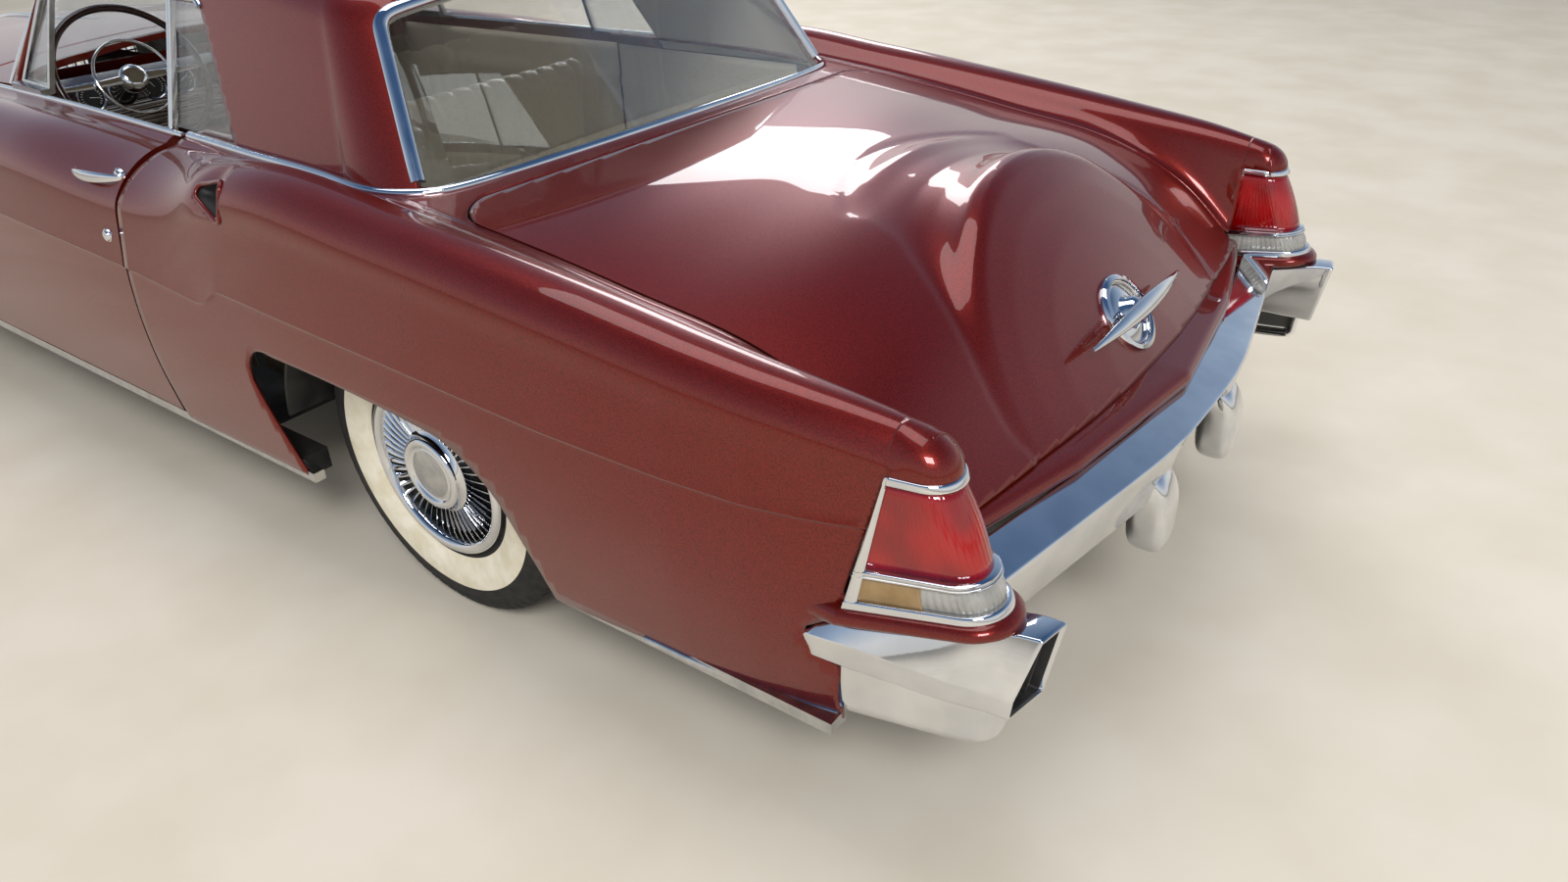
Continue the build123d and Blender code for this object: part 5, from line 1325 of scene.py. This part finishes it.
def shut_seals():
    """Dark rubber in the shut lines, sunk below the skins: strips along the doors' ends,
    the hood's sides and the boot lid's edge. They are seals and also painted shade,
    set close under the skins so that the gaps read dark."""
    def strip(name, path, normal, sink=9):
        """A flat strip along a path on the skin, sunk below it along the normal."""
        normal = unit(np.broadcast_to(np.asarray(normal, float), path.shape))
        half = 8 if sink > 5 else 2.2
        points, faces = ribbon(path - sink * normal, normal, [(-half, 0), (half, 0), (half, -4), (-half, -4)],
                               closed=False)
        (sided if "{}" in name else piece)(name, points, faces, seal, "body")

    up = (0, 0, 1)
    t = spread((6, SIDE + CROWN + WALL, 4))
    # The rear door seal sits only 2.5 mm down, where its black shows in the gap as painted shade.
    for name, x, sink in (("door_front_seal_{}", DOOR_FRONT + GAP / 2, 9),
                          ("door_rear_seal_{}", DOOR_REAR - GAP + 2.2, 2.5)):
        path = body(np.full_like(t, x), t)
        along = np.gradient(path, axis=0)
        strip(name, path, np.stack([0 * t, along[:, 2], -along[:, 1]], -1), sink)
    x = spread((HOOD_REAR + 10, 2600, 25))
    y = hood_half(x) + GAP / 2
    z = body(x, step_where(x, lambda p: p[..., 1] > y, SIDE + 30, MIDDLE))[:, 2]
    strip("hood_seal_{}", np.stack([x, y, z], -1), up)
    y = spread((-640, 640, 20))
    x = lid_front(y) + GAP / 2
    strip("lid_front_seal", np.stack([x, y, deck_height(x, y)], -1), up)
    x = spread((-1560, -2480, 20))
    y = np.full_like(x, LID_HALF + GAP / 2)
    strip("lid_side_seal_{}", np.stack([x, y, deck_height(x, y)], -1), up)


def tail_ledge():
    """Rolled ledge of the body under the boot lid, in plan an arc that the bumper
    follows, and a dark apron behind the bumper: painted shade in chassis black where
    the body-coloured valance lies in shadow."""
    y = spread((-796, 796, 14))[:, None]
    edge = np.interp(abs(y), (0, 422, 710, 800), (-2682, -2632, -2566, -2540))
    back, up = np.array([(70, 598), (34, 594), (14, 593), (4, 590), (-2, 582), (-3, 572), (3, 562), (14, 556),
                         (40, 552), (40, 548), (44, 548), (70, 590)], float).T
    piece("tail_ledge", grid_of(edge + back, y, up), capped(len(y), len(up)), paint, "body", ["tail_panel"],
          crisp=50)
    s = np.linspace(0, 1, 12)
    # The apron's chassis black is painted shade under the bumper, not the panel's own colour.
    apron = grid_of(edge + 52 + 60 * s ** 2, y, 550 - 235 * s)
    piece("tail_shade_apron", apron, quads(len(y), 12), chassis, "body", wall=4, turn=True, facing="given")


# Inside the cabin

# Sewn channels, the furthest that a pad swells, its mesh size and the frames it is given
CHANNEL_DEPTH, CHANNEL_WIDTH, SWELL, VOXEL, FRAMES = 7, 9, 24, 8, 20


def coordinates(mesh, name="co"):
    """An attribute of a mesh's points, as an array of rows of three."""
    values = np.empty(len(mesh.vertices) * 3, np.float32)
    mesh.vertices.foreach_get(name, values)
    return values.reshape(-1, 3)


def pad(name, outline, half, node, channels):
    """Upholstered pad: a rounded slab from its outline in side view, drawn in towards
    its ends by a quarter circle, swelled by cloth under pressure, then drawn in again
    along sewn channels that run up it, each a bell curve across."""
    x, z = rounded_polygon(outline, 26, 6).T
    turn_in = 30 * (1 - np.cos(np.linspace(0.2, 1, 5) * np.pi / 2))
    y = np.concatenate([[-half], turn_in - half, np.linspace(50 - half, half - 50, 30), half - turn_in[::-1],
                        [half]])[:, None]
    inset = 1 - 0.16 * (1 - np.sqrt(1 - (1 - np.clip((half - abs(y)) / 30, 0, 1)) ** 2))
    grid = grid_of(x.mean() + (x - x.mean()) * inset * 0.97, y, z.mean() + (z - z.mean()) * inset * 0.93)
    made = piece(name, grid, capped(len(y), len(x)), hide, "body", [node], crisp=180)
    swell(made)
    mesh = made.data
    points, normal = coordinates(mesh), coordinates(mesh, "normal")
    across = points[:, 1] * 1000
    pitch = 2 * (half - 70) / channels
    phase = (across + half - 70) / pitch
    near = abs(phase - np.round(phase)) * pitch
    sewn = np.exp(-(near / CHANNEL_WIDTH) ** 2) * (abs(across) < half - 60)
    points -= normal * (CHANNEL_DEPTH / 1000 * sewn)[:, None]
    mesh.vertices.foreach_set("co", points.reshape(-1))
    mesh.update()


def swell(made):
    """Remeshes a pad evenly and lets it swell as cloth under pressure, without weight,
    keeping each point within a reach of its place."""
    scene = bpy.context.scene
    start = made.modifiers.new("even", "REMESH")
    start.mode, start.voxel_size = "VOXEL", VOXEL / 1000
    start.use_smooth_shade = True
    bpy.context.view_layer.update()
    even = bpy.data.meshes.new_from_object(made.evaluated_get(bpy.context.evaluated_depsgraph_get()))
    made.modifiers.clear()
    made.data = even
    rest = coordinates(even)
    cloth = made.modifiers.new("cloth", "CLOTH").settings
    cloth.use_pressure, cloth.uniform_pressure_force = True, 4.0
    cloth.effector_weights.gravity = 0
    cloth.quality = 4
    cloth.tension_stiffness = cloth.compression_stiffness = 12
    for k in range(1, FRAMES + 1):
        scene.frame_set(k)
    move = coordinates(made.evaluated_get(bpy.context.evaluated_depsgraph_get()).to_mesh()) - rest
    made.modifiers.clear()
    scene.frame_set(1)
    length = np.linalg.norm(move, axis=1, keepdims=True)
    move *= np.minimum(1, SWELL / 1000 / np.maximum(length, 1e-9))
    even.vertices.foreach_set("co", (rest + move).reshape(-1))
    even.update()
    even.shade_smooth()


def across_car(outline, half, step):
    """An outline in side view carried across the car: points and faces of a closed bar."""
    x, z = outline.T
    y = spread((-half, half, step))[:, None]
    return grid_of(x, y, z), capped(len(y), len(x))


def seats():
    """Front and rear bench: channelled pads on carpeted plinths."""
    for name, outline, half, node, channels in (
            ("front_cushion", [(130, 420), (148, 500), (100, 520), (-330, 494), (-350, 420)],
             600, "front_seat", 16),
            ("front_backrest", [(-335, 505), (-412, 905), (-440, 932), (-482, 918), (-440, 470), (-350, 455)],
             600, "front_seat", 16),
            ("rear_cushion", [(-612, 415), (-612, 508), (-650, 535), (-1050, 556), (-1020, 545), (-850, 420)],
             590, "rear_seat", 14),
            ("rear_backrest", [(-1055, 575), (-1178, 848), (-1208, 868), (-1262, 866), (-1165, 575)],
             590, "rear_seat", 14)):
        pad(name, outline, half, node, channels)
    for name, corners, half in (("front_seat", [(110, 300), (95, 425), (-420, 425), (-420, 300)], 560),
                                ("rear_seat", [(-640, 300), (-640, 420), (-738, 420), (-738, 300)], 590)):
        points, faces = across_car(rounded_polygon(corners, 12, 4), half, 40)
        piece(name + "_plinth", points, faces, carpet, "body", [name], crisp=50)


def trims():
    """Carpet over the floor and tunnel, and hide cards on the doors and quarters with
    upright pleats between two rolls."""
    x, y = spread((-725, 838, 30))[:, None], spread((-640, 640, 8))
    piece("floor_carpet", grid_of(x, y, 300 + 106 * ease((150 - abs(y)) / 16)), quads(len(x), len(y)), carpet,
          "body", wall=3, turn=True, facing="given")
    z = np.r_[np.linspace(330, 560, 5), np.linspace(575, 780, 12), np.linspace(795, 915, 6)]
    low, high = 567, 793
    for name, start, end, riding, inner in (("door_card_{}", 850, -480, "door_{}", door_inner),
                                            ("quarter_card_{}", -505, -1225, "body", lambda x: 728 + 0 * x)):
        x = spread((start, end, 6))[:, None]
        pleat = 4 * abs(np.sin(np.pi * x / 62)) ** 0.5 * ease((z - low - 3) / 12) * ease((high - 3 - z) / 12)
        roll = 7 * np.exp(-((z - low) / 9) ** 2) + 7 * np.exp(-((z - high) / 9) ** 2)
        sided(name, grid_of(x, inner(x) - 4 - pleat - roll, z), quads(len(x), len(z)), hide, riding, wall=3,
              crisp=80, facing="given")


STEER_HUB, STEER_SLOPE, STEER_RADIUS = np.array((461.0, 400.0, 924.0)), np.radians(27), 215
DIAL_Z = 870


def dashboard():
    """Instrument panel: a body, a bright plate with fine ribs, and four dials with
    their rings, marks and needles."""
    outline = rounded_polygon([(745, 695), (758, 903), (640, 924), (577, 904), (563, 842), (612, 695)], 12, 6)
    points, faces = across_car(outline, 604, 30)
    piece("dashboard_body", points, faces, phenolic, "body", ["dashboard"], crisp=40)
    z, y = np.linspace(722, 838, 40)[:, None], spread((-590, 590, 40))
    plate = grid_of(563 + (842 - z) * 49 / 147 - 3 - 1.2 * np.sin(2 * np.pi * z / 7), y, z)
    piece("dashboard_plate", plate, quads(40, len(y)), stainless, "body", wall=1.5, turn=True, facing="given")
    beside = np.array((0, 1.0, 0))
    lean = unit(np.array((-62.0, 0, 14)))
    up = unit(np.cross(lean, beside))
    dials = ((208, -60, 11), (304, 30, 19), (400, 75, 11), (496, -100, 19))
    for i, (dial_y, needle, count) in enumerate(dials):
        at = np.array((562 + (DIAL_Z - 842) * 14 / 62, dial_y, DIAL_Z))
        points, faces = spun([(34, -2), (36, 5), (40, 8), (43, 5), (44, -3)], at, lean)
        piece(f"dial_ring_{i}", points, faces, chrome, "body", crisp=40)
        points, faces = spun([(0, 1.5), (33, 1), (35, 4)], at, lean, 36)
        piece(f"dial_face_{i}", points, faces, dial_black, "body", facing="in")
        marks = []
        for k, angle in enumerate(np.radians(np.r_[np.linspace(-135, 135, count), needle])):
            near, far, half, lift = (25, 31, 0.8, 2.6) if k < count else (-6, 24, 0.9, 3.4)
            out = beside * np.sin(angle) - up * np.cos(angle)
            wide, base = np.cross(lean, out) * half, at + lean * lift
            marks += [base + out * near - wide, base + out * far - wide, base + out * far + wide,
                      base + out * near + wide]
        piece(f"dial_marks_{i}", marks, np.arange(len(marks)).reshape(-1, 4), dial_white, "body", wall=0.6,
              weld=0, facing="given")


def steering_wheel():
    """Column, rim, horn ring, boss and two spokes, bowed towards the column."""
    axis = np.array((-np.cos(STEER_SLOPE), 0, np.sin(STEER_SLOPE)))
    column = [(0, -400), (26, -400), (26, -60), (30, -52), (30, -42), (0, -40)]
    boss = [(0, 16), (20, 15), (34, 10), (40, 2), (42, -12), (38, -32), (14, -36), (14, -38), (0, -38)]
    for name, profile, finish, riding, count, closed, crisp in (
            ("steering_column", column, phenolic, "body", 32, False, 40),
            ("steering_rim", circle(11, STEER_RADIUS, 0, 16), phenolic, "steering_wheel", 96, True, 80),
            ("horn_ring", circle(4.5, 112, 8, 10), chrome, "steering_wheel", 72, True, 80),
            ("steering_boss", boss, chrome, "steering_wheel", 40, False, 40)):
        points, faces = spun(profile, STEER_HUB, axis, count, closed)
        piece(name, points, faces, finish, riding, ["steering_wheel"] if name == "steering_rim" else [],
              crisp=crisp)
    up = np.cross((0, 1.0, 0), axis)
    s, a = np.linspace(0, 1, 12)[:, None, None], around(12)[:, None]
    for side, sign in (("left", 1), ("right", -1)):
        out = np.array((0, sign, 0.0)) * (34 + (STEER_RADIUS - 36) * s)
        thick = up * ((13 - 5 * s) * np.cos(a)) + axis * (4 * np.sin(a) - 6 * np.sin(np.pi * s))
        grid = STEER_HUB + out + thick
        piece("steering_spoke_" + side, grid, quads(12, 12, closed=True), chrome, "steering_wheel", crisp=60)


def shelf():
    """Cloth-covered parcel shelf whose front edge rolls down behind the rear seat."""
    x = np.r_[np.linspace(-1432, -1262, 20), -1256, -1250, -1246, -1244][:, None]
    z = np.r_[np.full(20, 899.0), 898, 895, 890, 880][:, None]
    y = spread((-640, 640, 16))
    narrowed = 1 - 60 * ease((-1300 - x) / 140) / 640
    piece("parcel_shelf_cloth", grid_of(x, y * narrowed, z), quads(len(x), len(y)), shelf_cloth, "body",
          ["parcel_shelf"], wall=4)


# Front end

def front_bumper():
    """Wrap-round bar: a rounded section carried along a smooth plan curve, with a
    bullet guard on each side."""
    knots = np.array([(2704, 0), (2688, 560), (2640, 850), (2560, 945), (2430, 962), (2304, 966)], float)
    run = np.r_[0, np.cumsum(np.linalg.norm(np.diff(knots, axis=0), axis=1))]
    plan = between(spread((0, 500, 40), (500, run[-1], 14)), run, knots)
    plan = np.concatenate([plan[:0:-1] * (1, -1), plan])
    ahead = unit(np.gradient(plan, axis=0))
    across, up = rounded_polygon([(-34, 424), (-34, 540), (-16, 548), (2, 505), (2, 452), (-12, 415)], 8, 6).T
    grid = grid_of(plan[:, :1] + ahead[:, 1:] * across, plan[:, 1:] - ahead[:, :1] * across, up)
    piece("front_bumper_bar", grid, capped(len(plan), len(up)), chrome, "body", ["front_bumper"], crisp=40)
    h = np.linspace(0, 1, 20)
    bullet = np.stack([72 * np.sqrt(1 - h ** 2.2), 100 * h], -1)
    bullet = np.concatenate([[(70, -24), (76, -10), (74, -3)], bullet])
    points, faces = spun(bullet, (2672, 430, 482), (1, 0, 0))
    sided("bullet_guard_{}", points, faces, chrome, "body", crisp=50)


def headlamps():
    """Sealed lamps: chrome ring and bowl, and a domed lens with upright flutes."""
    at, ahead = (2630, HEADLAMP_Y, HEADLAMP_Z), (1, 0, 0)
    ring = [(92, -34), (92, 2), (96, 10), (104, 11), (109, 4), (110, -8), (110, -20)]
    points, faces = spun(ring, at, ahead, 72)
    sided("headlamp_ring_{}", points, faces, chrome, "body", "headlamps", crisp=40, facing="in")
    points, faces = spun([(0, -48), (30, -44), (60, -30), (80, -12), (91, -2)], at, ahead)
    sided("headlamp_bowl_{}", points, faces, chrome, "body", crisp=60, facing="in")
    radius = 92
    r, a = np.linspace(0, radius, 24)[:, None], around(64)
    flute = 0.7 * np.cos(2 * np.pi * r * np.cos(a) / 11) * (r < radius - 6)
    lens = grid_of(9 * (1 - (r / radius) ** 2) + flute, r * np.cos(a), r * np.sin(a)) + at
    sided("headlamp_lens_{}", lens, quads(24, 64, closed=True), glass, "body", wall=3, crisp=80)


def hood_trim():
    """Plain spear along the hood's middle, swelling to the front."""
    x = spread((1500, 2590, 20))
    z = body(x, 0 * x + MIDDLE)[:, 2:]
    x = x[:, None]
    s, a = (x - x[0]) / (x[-1] - x[0]), around(14)
    end = np.sqrt(1 - s ** 10)
    grid = grid_of(x, (2 + 9 * s ** 0.8 * end) * np.cos(a), z + 1 + (3 + 15 * s ** 1.5 * end) * np.sin(a))
    piece("hood_spear", grid, capped(len(x), 14), chrome, "hood", crisp=60)


for build in (front_fender, nose_face, hood, door, quarter_panel, boot_lid, deck_panel, roof, window_trim,
              belt_trim, side_strips, wheel_liners, tail_lamps, bumper_bar, bumper_guards, bumper_pods,
              bumper_skirts):
    build()
for end, axle_x, half_track in (("front", FRONT_AXLE, 743), ("rear", REAR_AXLE, 762)):
    for side, sign in (("_left", 1), ("_right", -1)):
        tyre(end + side, axle_x, sign * half_track, sign)
        cover(end + side, axle_x, sign * half_track, sign)
for build in (hip_scoop, tail_cap, tail_ledge, shut_seals, door_handles, boot_boss, seats, trims, dashboard,
              steering_wheel, shelf, front_bumper, headlamps, hood_trim):
    build()


# Finishes of the CAD nodes that stay in view
# tail_panel, body colour on the car, takes the chassis black here as painted shade under the bumper; the tail
# ledge hides it.
NODE_FINISH = {node: finish for finish, nodes in (
    (paint, "cowl roof"), (cast, "engine_block rear_axle knuckle"), (tube_steel, "exhaust fuel_tank"),
    (chassis, "chassis_frame floor_pan wheelhouses tail_panel front_suspension wheel"),
    (chrome, "grille front_bumper rear_bumper tail_lamp_housings wheel_cover"), (clear_lens, "headlamps"),
    (ruby, "tail_lamp_lenses"), (stainless, "sill_strips vent_frame"), (phenolic, "dashboard steering_wheel"),
    (glass, "windscreen back_window quarter_glass vent_glass"), (hide, "front_seat rear_seat"),
    (shelf_cloth, "parcel_shelf"), (rubber, "tyre")) for node in nodes.split()}
for name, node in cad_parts.items():
    families = [name, name.rsplit("_", 1)[0], name.rsplit("_", 2)[0]]
    family = next((k for k in families if k in NODE_FINISH), None)
    if family:
        node.data.materials.clear()
        node.data.materials.append(NODE_FINISH[family])


# Floor, light and camera

floor = bpy.data.objects.new("floor", bpy.data.meshes.new("floor"))
floor.data.from_pydata([(-40, -40, 0), (40, -40, 0), (40, 40, 0), (-40, 40, 0)], [], [(0, 1, 2, 3)])
floor.data.materials.append(floor_finish)
bpy.context.scene.collection.objects.link(floor)


def softbox(name, at, toward, size, power):
    """A rectangular lamp in metres and watts that faces a point."""
    lamp = bpy.data.lights.new(name, "AREA")
    lamp.shape, lamp.size, lamp.size_y, lamp.energy = "RECTANGLE", *size, power
    made = bpy.data.objects.new(name, lamp)
    made.location = at
    made.rotation_euler = (Vector(toward) - Vector(at)).to_track_quat("-Z", "Y").to_euler()
    bpy.context.scene.collection.objects.link(made)


softbox("key", (-7.0, 6.0, 7.5), (-1.0, 0, 0.6), (3.6, 2.8), 620)
softbox("top", (0.0, 0.0, 8.5), (0, 0, 0), (7.0, 4.0), 240)
softbox("rim", (4.5, -7.0, 5.0), (0, 0, 0.7), (5.0, 2.5), 260)

world = bpy.data.worlds.new("studio")
bpy.context.scene.world = world
world.use_nodes = True
tree = world.node_tree
tree.nodes.clear()
path = add(tree, "ShaderNodeLightPath")
seen = add(tree, "ShaderNodeMath", {0: path.outputs["Is Camera Ray"], 1: path.outputs["Is Glossy Ray"]},
           operation="MAXIMUM")
seen = add(tree, "ShaderNodeMath", {0: seen.outputs[0], 1: path.outputs["Is Transmission Ray"]},
           operation="MAXIMUM")
ray = add(tree, "ShaderNodeTexCoord")
up = add(tree, "ShaderNodeSeparateXYZ", {"Vector": ray.outputs["Generated"]})
sky = add(tree, "ShaderNodeValToRGB", {"Fac": up.outputs["Z"]})
sky.color_ramp.elements[0].color = linear("#e6e5e1")
sky.color_ramp.elements[1].position, sky.color_ramp.elements[1].color = 0.8, linear("#426089")
for position, shade in ((0.12, "#eeeff0"), (0.36, "#a9bdd6")):
    sky.color_ramp.elements.new(position).color = linear(shade)
backdrop = add(tree, "ShaderNodeBackground", {"Color": sky.outputs["Color"], "Strength": 0.95})
ambient = add(tree, "ShaderNodeBackground", {"Color": linear("#f0f1f4"), "Strength": 0.62})
blend = add(tree, "ShaderNodeMixShader", {0: seen.outputs[0], 1: ambient.outputs[0], 2: backdrop.outputs[0]})
add(tree, "ShaderNodeOutputWorld", {"Surface": blend.outputs[0]})

bpy.context.scene.view_settings.view_transform = "Standard"

# The camera stands where the photograph's did, as fitted to the car's known sizes. Its
# focal length was fitted in pixels of the 1600 that the picture is wide.
CAMERA_AT = Vector((-3183.7, 2021.2, 1587.8)) / 1000
CAMERA_TO = Vector((-2850.8, 1575.9, 1263.3)) / 1000
SENSOR = 36
CAMERA_ROLL, FOCAL = -0.03463, 1113.99 / 1600 * SENSOR
camera = bpy.data.objects.new("camera", bpy.data.cameras.new("camera"))
camera.data.sensor_width, camera.data.lens = SENSOR, FOCAL
ahead = (CAMERA_TO - CAMERA_AT).normalized()
right = ahead.cross(Vector((0, 0, 1))).normalized()
up = right.cross(ahead)
c, s = np.cos(CAMERA_ROLL), np.sin(CAMERA_ROLL)
turned_axes = Matrix([right * c + up * s, up * c - right * s, -ahead]).transposed()
camera.matrix_world = Matrix.Translation(CAMERA_AT) @ turned_axes.to_4x4()
bpy.context.scene.collection.objects.link(camera)
bpy.context.scene.camera = camera
